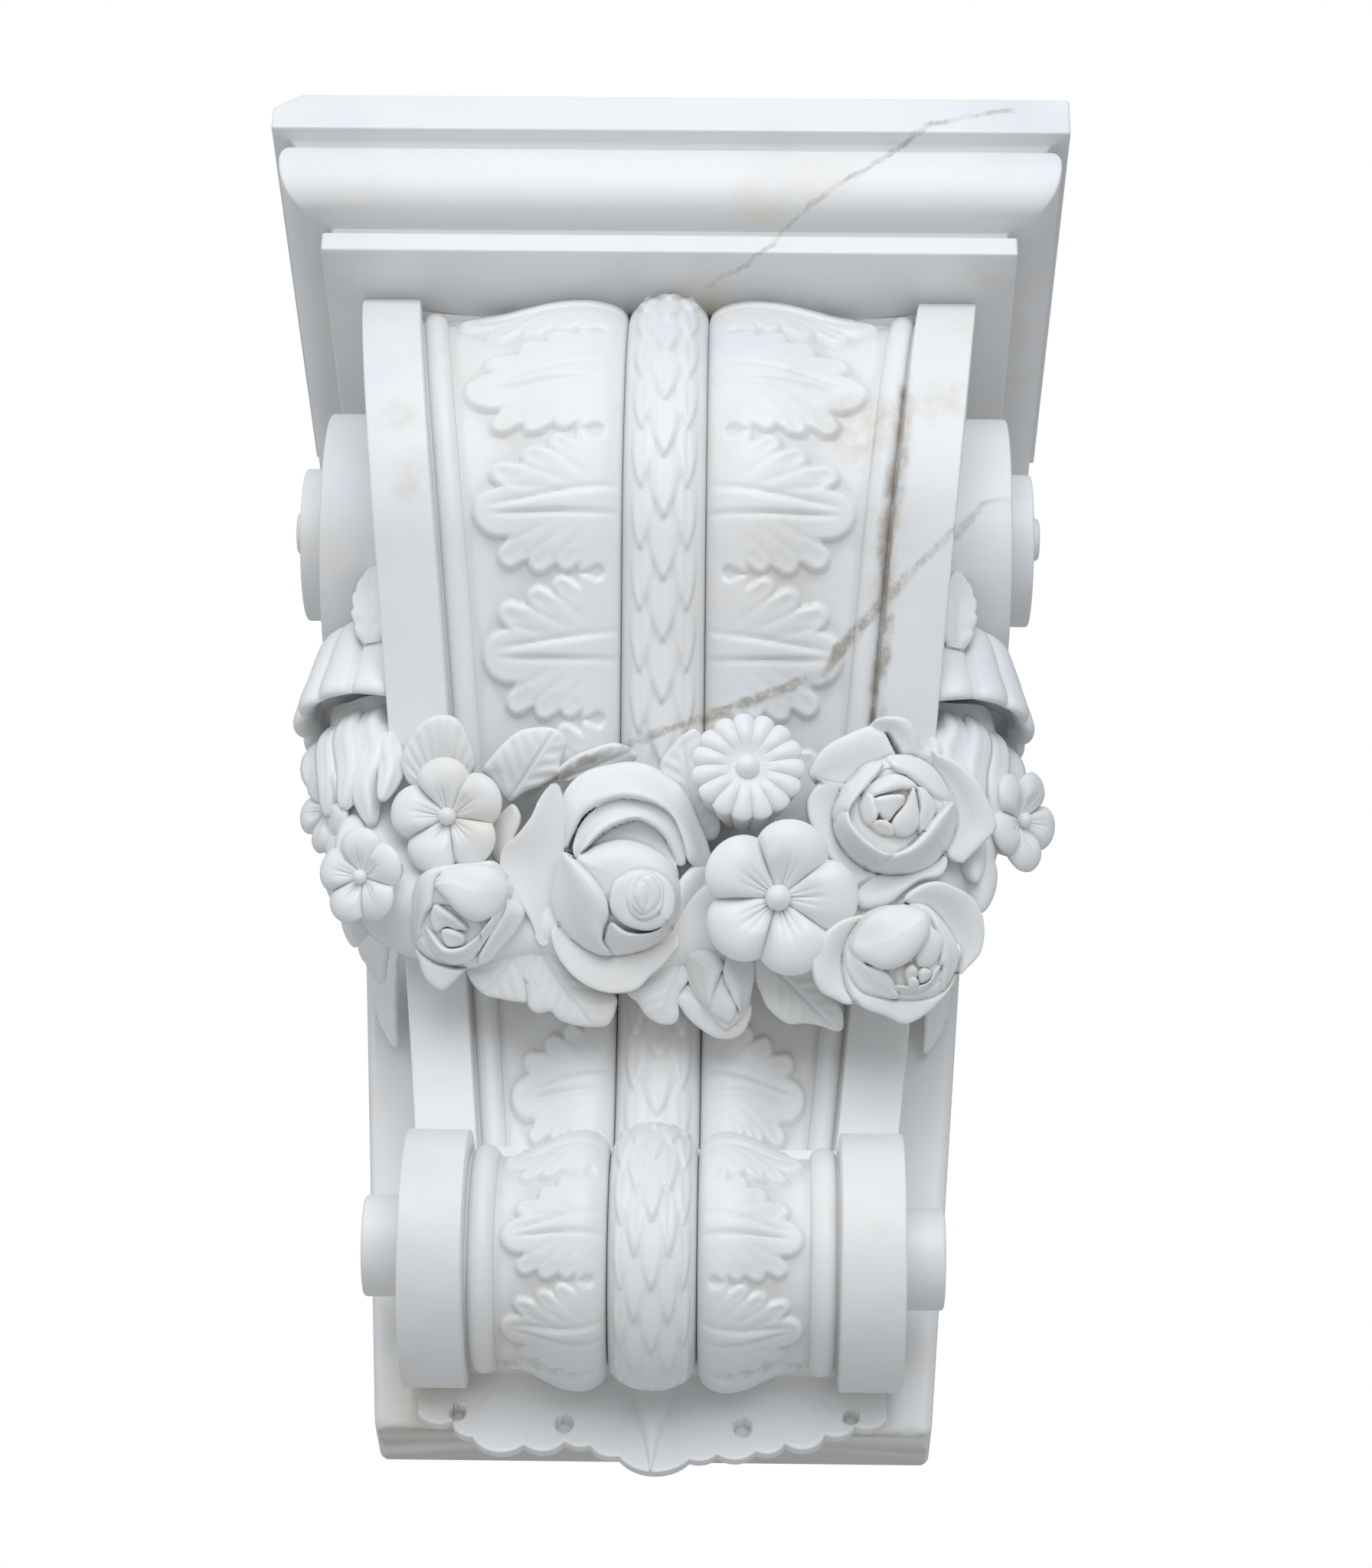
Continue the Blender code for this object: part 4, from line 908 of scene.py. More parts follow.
# %% The great rose
GREAT_ROSE_PETALS = (
    (1.5, ((-69, 49, 9), (-65, 42, 9), (-68, 32, 8), (-73, 22, 6), (-77, 18, 4), (-81, 25, 2),
        (-81, 38, 2), (-75, 45, 5))),
    (-1.5, ((-46, 62, 10), (-42, 45, 9), (-42, 25, 6), (-45, 9, 4), (-48, -8, 4), (-48, -18, 5),
        (-51, -26, 7), (-56, -23, 8), (-59, -13, 9), (-65, -3, 10), (-72, 7, 10), (-76, 17, 10),
        (-74, 27, 11), (-68, 32, 12), (-60, 42, 12), (-55, 53, 11))),
    (2, ((23, 17, 6), (33, 26, 2), (35, 13, 1), (33, 1, 0), (25, -8, 2), (16, -13, 6), (13, -4, 10),
        (17, 9, 10))),
    (2, ((-42, 25, 6), (-44, 39, 7), (-44, 52, 7), (-39, 61, 6), (-31, 67, 5), (-21, 70, 4), (-9, 72, 3),
        (2, 70, 3), (12, 64, 3), (21, 56, 3), (27, 43, 2), (33, 28, 1), (33, 18, 0), (23, 19, 10),
        (17, 32, 14), (6, 47, 17), (-9, 52, 18), (-22, 49, 17), (-32, 43, 14), (-38, 32, 11))),
    (-1, ((-48, -15, 9), (-48, -23, 10), (-44, -32, 10), (-36, -41, 10), (-26, -47, 9), (-15, -49, 9),
        (-4, -47, 9), (3, -40, 8), (9, -35, 8), (15, -28, 8), (18, -23, 8), (15, -15, 4), (-2, -14, 1),
        (-18, -17, 1), (-35, -11, 3))),
    (0, ((21, 19, 8), (19, 32, 9), (13, 44, 10), (3, 50, 11), (-9, 52, 12), (-19, 51, 12), (-29, 45, 11),
        (-35, 37, 10), (-38, 27, 10), (-36, 19, 12), (-34, 18, 21), (-29, 26, 22), (-22, 34, 22),
        (-13, 39, 21), (-4, 41, 19), (4, 37, 16), (11, 30, 12), (14, 19, 8))),
    (0, ((-35, 19, 13), (-29, 27, 11), (-22, 34, 9), (-13, 39, 7), (-4, 41, 6), (5, 37, 5), (11, 30, 5),
        (16, 19, 7), (15, 9, 13), (-10, 9, 15), (-27, 9, 15))),
    (9, ((-36, 19, 17), (-30, 25, 17), (-22, 29, 16), (-12, 31, 15), (-2, 29, 15), (8, 24, 15),
        (15, 17, 14), (18, 6, 13), (17, -7, 11), (11, -18, 8), (0, -25, 6), (-17, -28, 5),
        (-26, -16, 10), (-31, 2, 14))),
    (1.5, ((-17, -29, 8), (-3, -27, 8), (8, -22, 8), (15, -14, 9), (18, -4, 11), (16, 3, 20),
        (12, -11, 22), (3, -17, 23), (-8, -17, 23), (-17, -12, 22), (-20, -18, 18), (-21, -24, 12))),
    (5, ((-43, 24, 18), (-35, 19, 24), (-26, 10, 27), (-20, 1, 27), (-18, -8, 25), (-21, -16, 22),
        (-21, -23, 18), (-17, -29, 12), (-26, -28, 10), (-36, -22, 9), (-45, -13, 9), (-49, -2, 9),
        (-47, 12, 13))),
    (3, ((2, 15, 27), (10, 12, 27), (15, 6, 26), (16, -3, 26), (13, -11, 26), (5, -16, 25),
        (-3, -16, 25), (-11, -13, 25), (-17, -7, 25), (-18, 0, 26), (-15, 9, 27), (-7, 14, 27))),
    (2, ((3, 14, 31), (9, 9, 30), (10, 1, 30), (8, -7, 30), (0, -11, 29), (-6, -8, 29), (-9, 0, 30),
        (-7, 8, 30), (-2, 13, 31))),
    (1.2, ((3, 12, 33), (8, 5, 32.5), (7, -3, 31.5), (0, -8, 31.5), (-5, -5, 32), (-6, 1, 32.5),
        (-3, 8, 33))),
    (0.8, ((0, 8, 34.5), (2, 2, 34), (0, -6, 33), (-3, -4, 33), (-5, 1, 34), (-3, 6, 34.5))),
)
ROSE_SHARP = 62
seat = (-0.0071, -0.1631, -0.0818)
outer = [relief(seat, FORWARD, [petal], 120, 36) for petal in GREAT_ROSE_PETALS[:2]]
piece("great_rose", outer + [relief(seat, FORWARD, GREAT_ROSE_PETALS[2:], 345, 100)], ROSE_SHARP)

# %% The upper rose on the right
ROSE_UPPER_RIGHT_PETALS = (
    (0, ((-44, 5, 6), (-39, 13, 7), (-32, 18, 7), (-23, 18, 5), (-23, 7, 1), (-24, -6, -1),
        (-18, -22, -1), (-4, -32, 1), (-15, -40, 5), (-23, -33, 6), (-32, -24, 6), (-38, -15, 6),
        (-43, -5, 6))),
    (2, ((-44, 17, 1), (-41, 27, 3), (-34, 35, 5), (-24, 41, 6), (-13, 46, 7), (-6, 43, 8), (0, 33, 7),
        (4, 27, 5), (-6, 23, 3), (-15, 19, 1), (-23, 15, 0), (-35, 15, 0))),
    (1, ((18, 35, 8), (24, 33, 9), (35, 29, 9), (44, 21, 9), (50, 12, 8), (56, -2, 6), (49, -12, 6),
        (42, -20, 5), (38, -23, 4), (30, -18, 2), (33, -6, 0), (32, 9, 1), (24, 22, 3), (15, 31, 5))),
    (2, ((-13, 47, 9), (-9, 50, 12), (-1, 51, 13), (6, 49, 13), (11, 42, 12), (14, 35, 9), (20, 33, 7),
        (19, 26, 5), (7, 29, 6), (1, 36, 7), (-4, 42, 8), (-9, 43, 8))),
    (1.5, ((30, -18, 7), (31, -25, 7), (27, -31, 7), (18, -33, 7), (10, -39, 7), (3, -46, 6),
        (-5, -49, 5), (-13, -50, 4), (-17, -43, 3), (-12, -36, 1), (-2, -30, 0), (14, -25, 0),
        (27, -18, 2))),
    (12, ((-29, 1, 4), (-27, 10, 6), (-21, 18, 8), (-15, 25, 9), (-7, 28, 9), (0, 31, 9), (10, 31, 9),
        (18, 27, 8), (25, 21, 7), (32, 12, 5), (35, 1, 4), (33, -11, 3), (27, -21, 2), (17, -27, 2),
        (7, -30, 2), (-4, -30, 2), (-15, -26, 2), (-24, -18, 3), (-28, -9, 3))),
    (0, ((-21, 1, 13), (-14, 14, 14), (-4, 23, 15), (9, 21, 15), (23, 12, 14), (26, 1, 12),
        (15, -11, 12), (3, -20, 12), (-12, -15, 12), (-20, -7, 12))),
    (2.5, ((-5, 29, 14), (2, 31, 14), (12, 30, 13), (21, 25, 12), (28, 16, 11), (30, 9, 10), (23, 9, 15),
        (14, 14, 17), (6, 19, 18), (-2, 23, 18))),
    (1, ((-17, 8, 16), (-11, 16, 18), (-1, 20, 19), (7, 18, 19), (12, 13, 19), (2, 12, 20), (-7, 9, 20),
        (-12, 6, 19), (-14, 0, 17))),
    (3, ((-30, -1, 8), (-27, 8, 11), (-20, 18, 14), (-14, 24, 16), (-7, 26, 17), (-9, 20, 19),
        (-15, 12, 19), (-21, 4, 19), (-23, -2, 18), (-21, -11, 14), (-21, -20, 8), (-26, -14, 6))),
    (1.5, ((11, 14, 18), (17, 12, 18), (22, 5, 16), (21, -1, 15), (16, -10, 15), (12, -5, 18),
        (13, 3, 19))),
    (1.2, ((-15, 9, 18), (-10, 6, 20), (-8, 0, 20), (-10, -7, 18), (-15, -5, 16), (-18, 2, 16))),
    (1, ((-11, 6, 21), (-3, 9, 22), (4, 9, 22), (5, 5, 21), (1, 0, 20), (-3, -5, 19), (-8, -1, 20))),
    (1, ((-11, -7, 17), (-7, -4, 19), (-1, -6, 19), (1, -11, 18), (-6, -11, 16))),
    (1.5, ((9, 13, 23), (12, 4, 22), (13, -6, 20), (9, -11, 18), (2, -11, 19), (-1, -5, 20), (5, 5, 22))),
    (4, ((-24, -1, 17), (-21, -8, 19), (-14, -15, 20), (-6, -20, 20), (2, -22, 19), (12, -25, 12),
        (7, -30, 6), (-5, -30, 5), (-15, -26, 5), (-24, -18, 6), (-29, -9, 8), (-28, -3, 12))),
    (4, ((31, 8, 14), (23, 1, 18), (16, -9, 20), (9, -17, 20), (1, -22, 19), (-4, -26, 12), (7, -30, 6),
        (17, -28, 5), (26, -22, 5), (32, -11, 6), (34, 0, 8))),
)
seat, facing = (0.1195, -0.188, -0.0443), (0.1, -0.88, -0.45)
piece("rose_upper_right", [relief(seat, facing, ROSE_UPPER_RIGHT_PETALS)], ROSE_SHARP)

# %% The lower rose on the right
ROSE_LOWER_RIGHT_PETALS = (
    (0.5, ((-20, 29, 5), (-29, 26, 6), (-40, 22, 7), (-47, 15, 7), (-50, 8, 7), (-53, 1, 7),
        (-51, -9, 7), (-46, -16, 6), (-38, -19, 5), (-31, -21, 5), (-24, -16, 1), (-30, -7, -1),
        (-33, 3, -1), (-30, 13, 1), (-25, 22, 3))),
    (-1, ((-9, 35, 9), (-2, 43, 10), (8, 47, 10), (18, 45, 10), (28, 40, 9), (34, 31, 8), (36, 21, 6),
        (35, 12, 5), (30, 5, 4), (25, 0, 3), (21, 10, 0), (17, 21, 1), (8, 30, 4), (-2, 33, 7))),
    (1, ((-35, 1, 4), (-34, -9, 5), (-30, -17, 7), (-23, -22, 8), (-11, -25, 8), (-1, -28, 8),
        (9, -22, 8), (16, -14, 8), (22, -5, 7), (24, 5, 6), (24, 15, 5), (13, 14, 3), (-7, 2, 1),
        (-24, 2, 1))),
    (6, ((-35, 13, 6), (-29, 25, 8), (-20, 31, 9), (-9, 33, 9), (3, 34, 9), (13, 27, 8), (20, 18, 7),
        (23, 7, 6), (21, -3, 6), (15, -11, 6), (5, -15, 6), (-8, -16, 6), (-20, -13, 5), (-31, -6, 4),
        (-36, 3, 4))),
    (2, ((4, 33, 11), (12, 27, 12), (20, 17, 12), (23, 7, 10), (20, -3, 9), (16, -9, 8), (12, 3, 13),
        (12, 14, 15), (7, 24, 15))),
    (0, ((-11, -2, 11), (-6, 2, 12), (4, 6, 12), (12, 4, 12), (13, -4, 11), (6, -10, 10), (-6, -12, 10))),
    (2, ((4, 24, 15), (11, 18, 16), (12, 10, 15), (8, 3, 14), (0, 3, 15), (-1, 13, 16))),
    (2, ((-36, 3, 6), (-33, -5, 8), (-26, -13, 9), (-16, -15, 10), (-7, -15, 11), (-11, -6, 14),
        (-17, -1, 15), (-26, 1, 14), (-28, 7, 12), (-33, 10, 8))),
    (1.5, ((-9, -11, 12), (-1, -12, 10), (6, -10, 10), (12, -4, 10), (14, 4, 11), (10, 2, 14),
        (7, -5, 15), (-1, -8, 15), (-9, -8, 14))),
    (1, ((-6, 0, 17), (-3, 3, 18), (0, 1, 18), (1, -3, 16), (-4, -5, 16))),
    (1, ((1, -1, 17), (4, 2, 17), (8, 0, 16), (7, -4, 15), (3, -6, 15))),
    (1, ((-4, -5, 16), (-1, -3, 17), (2, -5, 16), (2, -8, 15), (-2, -9, 15))),
    (6, ((-34, 11, 12), (-29, 23, 15), (-21, 30, 16), (-10, 33, 16), (1, 31, 17), (4, 25, 19),
        (3, 17, 21), (-2, 8, 21), (-8, 2, 20), (-16, -1, 19), (-25, 1, 17), (-32, 5, 14))),
)
seat, facing = (0.1306, -0.1572, -0.1191), (0.15, -0.84, -0.52)
piece("rose_lower_right", [relief(seat, facing, ROSE_LOWER_RIGHT_PETALS)], ROSE_SHARP)

# %% The half open rose on the left
BUD_ROSE_PETALS = (
    (2, ((-29, -8, 5), (-28, -19, 4), (-25, -29, 4), (-18, -35, 4), (-12, -32, 4), (-5, -26, 4),
        (1, -21, 4), (-2, -13, 5), (-15, -7, 5))),
    (9, ((-29, 13, 2), (-25, 24, 4), (-17, 29, 5), (-6, 30, 6), (6, 30, 6), (16, 30, 5), (21, 24, 3),
        (25, 15, 1), (29, 2, -1), (23, -8, -1), (13, -17, -1), (3, -24, -1), (-9, -24, 0), (-21, -20, 0),
        (-30, -11, 0), (-32, 1, 0))),
    (2, ((24, 9, 8), (30, 2, 4), (26, -6, 4), (18, -14, 5), (9, -22, 5), (4, -23, 6), (5, -18, 9),
        (11, -10, 11), (17, -1, 12), (22, 7, 12))),
    (1.5, ((19, 7, 13), (22, 11, 11), (23, 7, 10), (17, -3, 10), (9, -12, 10), (5, -16, 10), (5, -9, 13),
        (12, -2, 15))),
    (2, ((-29, -8, 3), (-30, 3, 4), (-28, 15, 7), (-23, 24, 10), (-15, 29, 12), (-11, 27, 13),
        (-14, 19, 14), (-17, 7, 13), (-22, -2, 9))),
    (0, ((-24, -1, 7), (-16, 9, 9), (-4, 8, 9), (8, 0, 9), (5, -11, 7), (-6, -18, 6), (-17, -16, 6),
        (-23, -10, 6))),
    (1, ((-18, 3, 12), (-15, 10, 14), (-9, 7, 15), (-3, 2, 15), (1, -4, 13), (-5, -4, 12), (-10, -2, 12),
        (-16, -4, 11))),
    (1, ((-13, -4, 12), (-8, -3, 13), (-1, -7, 13), (-3, -12, 10), (-11, -12, 10))),
    (1.5, ((-22, -1, 9), (-21, -8, 9), (-17, -17, 9), (-10, -22, 8), (-1, -21, 8), (6, -15, 9),
        (8, -7, 11), (3, -10, 14), (-3, -13, 14), (-11, -13, 14), (-16, -7, 13), (-19, -3, 12))),
    (6, ((-14, 21, 13), (-8, 27, 14), (4, 29, 14), (16, 27, 14), (23, 20, 13), (24, 12, 13), (19, 4, 14),
        (12, 0, 16), (5, 0, 17), (-2, 5, 18), (-8, 13, 18), (-12, 17, 15))),
)
seat, facing = (-0.0982, -0.1625, -0.0952), (-0.15, -0.82, -0.55)
piece("bud_rose", [relief(seat, facing, BUD_ROSE_PETALS)], ROSE_SHARP)

# %% The bud below
TULIP_BUD_PETALS = (
    (5, ((-19, 17, 0), (-11, 21, 3), (0, 21, 4), (12, 19, 3), (17, 11, 0), (16, -2, 0), (13, -12, 1),
        (7, -18, 2), (2, -21, 2), (-5, -14, 1), (-13, -4, 0), (-18, 6, 0))),
    (2, ((0, 9, 9), (4, 0, 9), (8, -9, 8), (5, -17, 6), (0, -15, 6), (-6, -10, 7), (-5, -2, 9))),
    (4, ((-19, 18, 3), (-11, 21, 7), (-3, 19, 9), (1, 13, 12), (-1, 7, 12), (-4, -1, 11), (-6, -9, 8),
        (-12, -2, 4), (-17, 8, 2))),
    (4, ((1, 13, 12), (4, 19, 9), (12, 20, 5), (17, 13, 2), (16, 0, 2), (11, -12, 4), (8, -8, 9),
        (4, 0, 11), (1, 7, 12))),
)
seat, facing = (0.0329, -0.1382, -0.1209), (0, -0.84, -0.54)
piece("tulip_bud", [relief(seat, facing, TULIP_BUD_PETALS, 180, 56)], ROSE_SHARP)

# %% [markdown]
# ## Open flowers
#
# The flat flowers are one surface each: rings about the middle whose reach follows the petals' round
# ends. Where two ellipses meet, the reach has its notch. The height is a pillow on each petal.
# Petals made one by one would need to be joined; one surface has no seams to hide.

# %% The ball in the middle
def middle_ball(centre, axes, radius, size):
    """A ball in the middle: rings from near its foot to near its top, by latitude and longitude."""
    low_to_high, round_it = np.linspace(-0.46, 0.48, 16) * np.pi, np.linspace(0, 2 * np.pi, 31)[:-1]
    lat, lon = np.meshgrid(low_to_high, round_it, indexing="ij")
    height = size * np.sin(lat) + 0.02
    return ring_stack(around(centre, axes, radius * size * np.cos(lat), lon, radius * height))


print("points of a ball:", len(middle_ball((0, 0, 0), axes_of(FORWARD), 0.03, 0.15)[0]))

# %% Flat flowers
PETALS, FLOWER_SHARP = 5, 70
MIDDLE, LONG = 0.58, 0.42       # a petal's middle and half its length, as shares of the flower's radius


def open_flower(centre, normal, radius, turn, breadth=0.44, ball=0.15, foot=0.8):
    """Petals in a ring, in shares of the flower's radius, with a ball in the middle.

    The reach at an angle is where its ray leaves the petal's ellipse. The height is a pillow across
    the petal, times a rise and a fall along it, less a crease in its middle and one on each side.
    """
    axes, step = axes_of(normal), 2 * np.pi / PETALS
    angle = np.linspace(0, 2 * np.pi, PETALS * 24, endpoint=False)
    psi = (angle + step / 2) % step - step / 2
    c, s, w = np.cos(psi), np.sin(psi), psi / (step / 2)
    A, B = (c / LONG) ** 2 + (s / breadth) ** 2, MIDDLE * c / LONG ** 2
    reach = (B + np.sqrt(np.clip(B * B - A * ((MIDDLE / LONG) ** 2 - 1), 0, None))) / A
    rim_shares = 1 - 0.2 * (1 - np.linspace(0, 1, 12)[1:]) ** 1.6
    share = np.concatenate([np.linspace(0.04, 0.8, 22), rim_shares])[:, None]
    pillow = np.sqrt(1 - 0.86 * np.abs(w) ** 3.0)
    fall = np.sqrt(np.clip(1 - ((share - 0.62) / 0.40) ** 2, 0, 1))
    along = np.where(share < 0.62, 0.30 + 0.70 * soft(share, 0.05, 0.62), fall)
    crease = bump(w, 0.07) + 0.6 * bump(np.abs(w) - 0.36, 0.06)
    height = 0.05 * share ** 2 + 0.27 * (pillow * along - 0.45)
    height = height - 0.035 * crease * (1 - soft(share, 0.30, 0.72)) + 0.05 * w * soft(share, 0.25, 0.6)
    back = np.array([(0.985, 0.06), (0.93, 0.12), (0.75, 0.2)])
    stem = np.ones((1, len(angle)))
    radial = np.concatenate([share * reach, back[:, :1] * reach, 0.42 * stem])
    height = np.concatenate([height, height[-1:] - back[:, 1:], -foot * stem])
    # Dust and painted shade, through the crevice tone, on the sides of each petal near the middle where
    # petals meet.
    tone = np.concatenate([0.5 * (1 - pillow) * soft(-share, -0.7, -0.2), np.zeros((4, len(angle)))])
    rings = around(centre, axes, radius * radial, angle + turn, radius * height)
    return [ring_stack(rings, tone), middle_ball(centre, axes, radius, ball)]


print("points of a flower without its ball:", len(open_flower((0, 0, 0), FORWARD, 0.03, 0)[0][0]))

# %% Five flat flowers
LEFTWARDS, RIGHTWARDS = (-0.80, -0.55, -0.25), (0.78, -0.56, -0.28)
FRONT_LEFT, FAR_LEFT = (-0.25, -0.86, -0.45), (-0.50, -0.76, -0.42)
# Name, place, direction and radius; then turn, petals' breadth, ball and foot.
for name, *flower in (
    ("ball_flower", (0.0618, -0.1838, -0.0923), FORWARD, 0.0412, 0.03, 0.47, 0.165, 0.9),
    ("flower_front_left", (-0.1102, -0.1897, -0.0485), FRONT_LEFT, 0.0312, 0.35, 0.46),
    ("flower_left", (-0.1552, -0.1721, -0.0751), FAR_LEFT, 0.0260, 0.1, 0.47, 0.15, 1.3),
    ("flower_left_edge", (-0.1787, -0.1525, -0.0208), LEFTWARDS, 0.0240, 0.4, 0.44, 0.15, 1.2),
    ("flower_right_edge", (0.1925, -0.146, -0.0194), RIGHTWARDS, 0.0280, 0.2, 0.44, 0.15, 1.2),
):
    piece(name, open_flower(*flower), FLOWER_SHARP)

# %% [markdown]
# ## The daisy
#
# The daisy is thicker than the flat flowers: a dome with a scalloped rim, cut into narrow petals by
# grooves. A cosine of many turns, taken without its sign, gives both the scallops and the grooves.

# %% The daisy
DAISY_SEAT, DAISY_FACE, DAISY_R, DAISY_PETALS = (0.0456, -0.2089, -0.0287), (0.03, -0.93, -0.22), 0.0295, 15
axes = axes_of(DAISY_FACE)
angle = np.linspace(0, 2 * np.pi, DAISY_PETALS * 12, endpoint=False)
gap = 1 - np.abs(np.cos(DAISY_PETALS * angle / 2)) ** 0.55
share = np.sin(np.linspace(0.03, 1.0, 34) * np.pi / 2)[:, None]
height = 0.17 * soft(share, 0.16, 0.62) * np.sqrt(np.clip(1.02 - share ** 5, 0, 1))
height = height - 0.075 * gap * soft(share, 0.24, 0.6)
reach = 1 - 0.09 * gap
back = np.array([(0.99, 0.08), (0.96, 0.25), (0.90, 0.60), (0.80, 1.0), (0.70, 1.5)])
radial = np.concatenate([share * reach, back[:, :1] * (reach - 0.03 * gap)])
height = np.concatenate([height, height[-1:] - back[:, 1:]])
# Dust and painted shade, through the crevice tone, in the grooves between the petals.
tone = np.concatenate([0.6 * gap * soft(share, 0.2, 0.5), np.zeros((5, len(angle)))])
rings = around(DAISY_SEAT, axes, DAISY_R * radial, angle, DAISY_R * height)
piece("daisy", [ring_stack(rings, tone), middle_ball(DAISY_SEAT, axes, DAISY_R, 0.21)], FLOWER_SHARP)

# %% [markdown]
# ## Leaves carved close to the stone
#
# Most of the garland's leaves lie against their neighbours and are part of the same lump, so each is
# carved like a petal, from its outline. The veins are laid on it: a groove on the midrib, and ridges
# that slant off it, as the mason scratches them in last.

# %% Veins of a leaf
def leaf_ribs(root, tip):
    """A groove on the midrib and swellings that slant off it, as a height in mm."""
    def ribs(x, y):
        dx, dy = tip[0] - root[0], tip[1] - root[1]
        long = math.hypot(dx, dy)
        along = ((x - root[0]) * dx + (y - root[1]) * dy) / long
        across = np.abs((x - root[0]) * dy - (y - root[1]) * dx) / long
        rib = np.cos(2 * np.pi * (along - 0.8 * across) / 8.0)
        return 0.28 * rib * soft(across, 0.5, 5.0) - 1.1 * bump(across, 0.9)
    return ribs


def fan_ribs(root):
    """Ridges that spread from one point, as a cosine of the angle about it."""
    def ribs(x, y):
        return 0.3 * np.cos(40 * np.arctan2(y - root[1], x - root[0]))
    return ribs


print("height on a midrib:", round(float(leaf_ribs((0, 0), (0, 40))(0.0, 9.0)), 2), "mm")

# %% The leaves above and below the flowers
LEAVES_ABOVE = (
    (2, ((-54, 4, 2), (-49, 11, 4), (-42, 19, 5), (-34, 25, 6), (-22, 27, 6), (-13, 25, 6), (-9, 19, 5),
        (-11, 13, 4), (-13, 7, 4), (-12, 2, 3), (-22, -4, 1), (-32, -8, 0), (-39, -13, -1), (-44, -8, 0),
        (-48, -2, 1))),
    (2, ((-14, 5, 3), (-7, 11, 5), (2, 15, 6), (15, 19, 6), (25, 16, 5), (28, 11, 3), (21, 7, 1),
        (5, 4, 1), (-7, -1, 0), (-14, -3, 0))),
    (1.5, ((39, 7, 2), (45, 17, 4), (55, 26, 7), (61, 24, 6), (64, 8, 5), (67, -10, 6), (72, -24, 7),
        (68, -32, 6), (58, -30, 6), (49, -19, 5), (42, -7, 3))),
    (2, ((-96, 4, 0), (-96, 12, 1), (-93, 19, 2), (-88, 26, 4), (-82, 31, 5), (-74, 33, 5), (-66, 30, 5),
        (-61, 21, 4), (-58, 12, 3), (-58, 4, 2), (-66, -5, 0), (-79, -8, 0), (-91, -5, 0))),
)
LEAVES_BELOW = (
    (2, ((-60, -7, 2), (-57, -15, 3), (-50, -21, 4), (-41, -23, 4), (-35, -24, 4), (-28, -24, 3),
        (-27, -14, 4), (-29, -4, 4), (-37, 10, 3), (-45, 5, 2), (-54, -2, 1))),
    (2.5, ((-37, 10, 3), (-29, 17, 3), (-17, 9, 3), (-5, -8, 2), (6, -16, 2), (18, -19, 3), (18, -28, 5),
        (14, -36, 5), (5, -37, 5), (-4, -36, 5), (-12, -33, 5), (-16, -29, 5), (-23, -30, 5),
        (-28, -26, 5), (-29, -18, 5), (-34, -9, 4), (-44, -7, 2))),
    (2.5, ((23, -18, 3), (29, -24, 4), (34, -31, 4), (41, -35, 4), (48, -35, 4), (51, -31, 4),
        (51, -20, 5), (56, -10, 4), (51, 6, 1), (41, -2, 1), (31, -11, 1))),
    (2, ((49, -19, 3), (52, -27, 4), (59, -35, 4), (70, -42, 4), (80, -42, 4), (86, -37, 3),
        (89, -25, 2), (78, -19, 0), (61, -12, 0))),
    (2, ((89, 2, 1), (90, -10, 3), (93, -18, 4), (97, -26, 5), (107, -34, 5), (116, -34, 5),
        (124, -35, 4), (136, -38, 3), (135, -25, 3), (126, -18, 1), (120, -7, 0), (119, 2, -1),
        (102, 3, -1))),
)
VEINS_ABOVE = (
    leaf_ribs((-39, -11), (-17, 23)), leaf_ribs((-12, -1), (26, 15)), leaf_ribs((60, -28), (50, 25)),
    fan_ribs((-74, -16)),
)
VEINS_BELOW = (
    leaf_ribs((-29, 10), (-50, -21)), leaf_ribs((-29, 14), (6, -37)), leaf_ribs((54, 6), (41, -35)),
    leaf_ribs((54, -17), (86, -38)), leaf_ribs((92, 3), (134, -38)),
)
ABOVE_SEAT, BELOW_SEAT, DOWNWARD = (-0.04, -0.183, -0.02), (-0.04, -0.144, -0.105), (0, -0.82, -0.57)
above = [relief(ABOVE_SEAT, FORWARD, [leaf], 120, 36, 20, v) for leaf, v in zip(LEAVES_ABOVE, VEINS_ABOVE)]
below = [relief(BELOW_SEAT, DOWNWARD, [leaf], 116, 34, 22, v) for leaf, v in zip(LEAVES_BELOW, VEINS_BELOW)]
piece("leaves_above", above, FLOWER_SHARP)
piece("leaves_below", below, FLOWER_SHARP)

# %% [markdown]
# ## Cups and husks at the ends
#
# The garland hangs from a fluted cup under each side scroll, and a bunch of limp husks, buds and small
# leaves hangs out of it. A cup is turned on an axis, a husk is a tube along a winding line, and a free
# leaf is a thin shell: one surface and a thickness that shrinks to nothing at its rim.

# %% Thin leaves
def thin(place, thickness):
    """A closed shell over place(q, v), q from -1 to 1 across and v from 0 to 1 along, thin at its rim."""
    q = np.sin(np.linspace(-1, 1, 30) * np.pi / 2)
    v = 0.5 - 0.5 * np.cos(np.linspace(0, 1, 44) * np.pi)
    Q, V = np.meshgrid(q, v)
    surface = place(Q, V)
    normal = unit(np.cross(np.gradient(surface, axis=1), np.gradient(surface, axis=0)))
    wide = np.linalg.norm(np.diff(surface, axis=1), axis=-1).sum(axis=1)[:, None] / 2
    long = np.linalg.norm(np.diff(surface, axis=0), axis=-1).sum(axis=0)[None]
    rim = np.minimum((1 - np.abs(Q)) * wide, (1 - V) * long)
    half = thickness / 2 * (0.08 + 0.92 * quarter(rim, thickness * 0.55))[..., None]
    return shell(surface + normal * half, surface - normal * half)


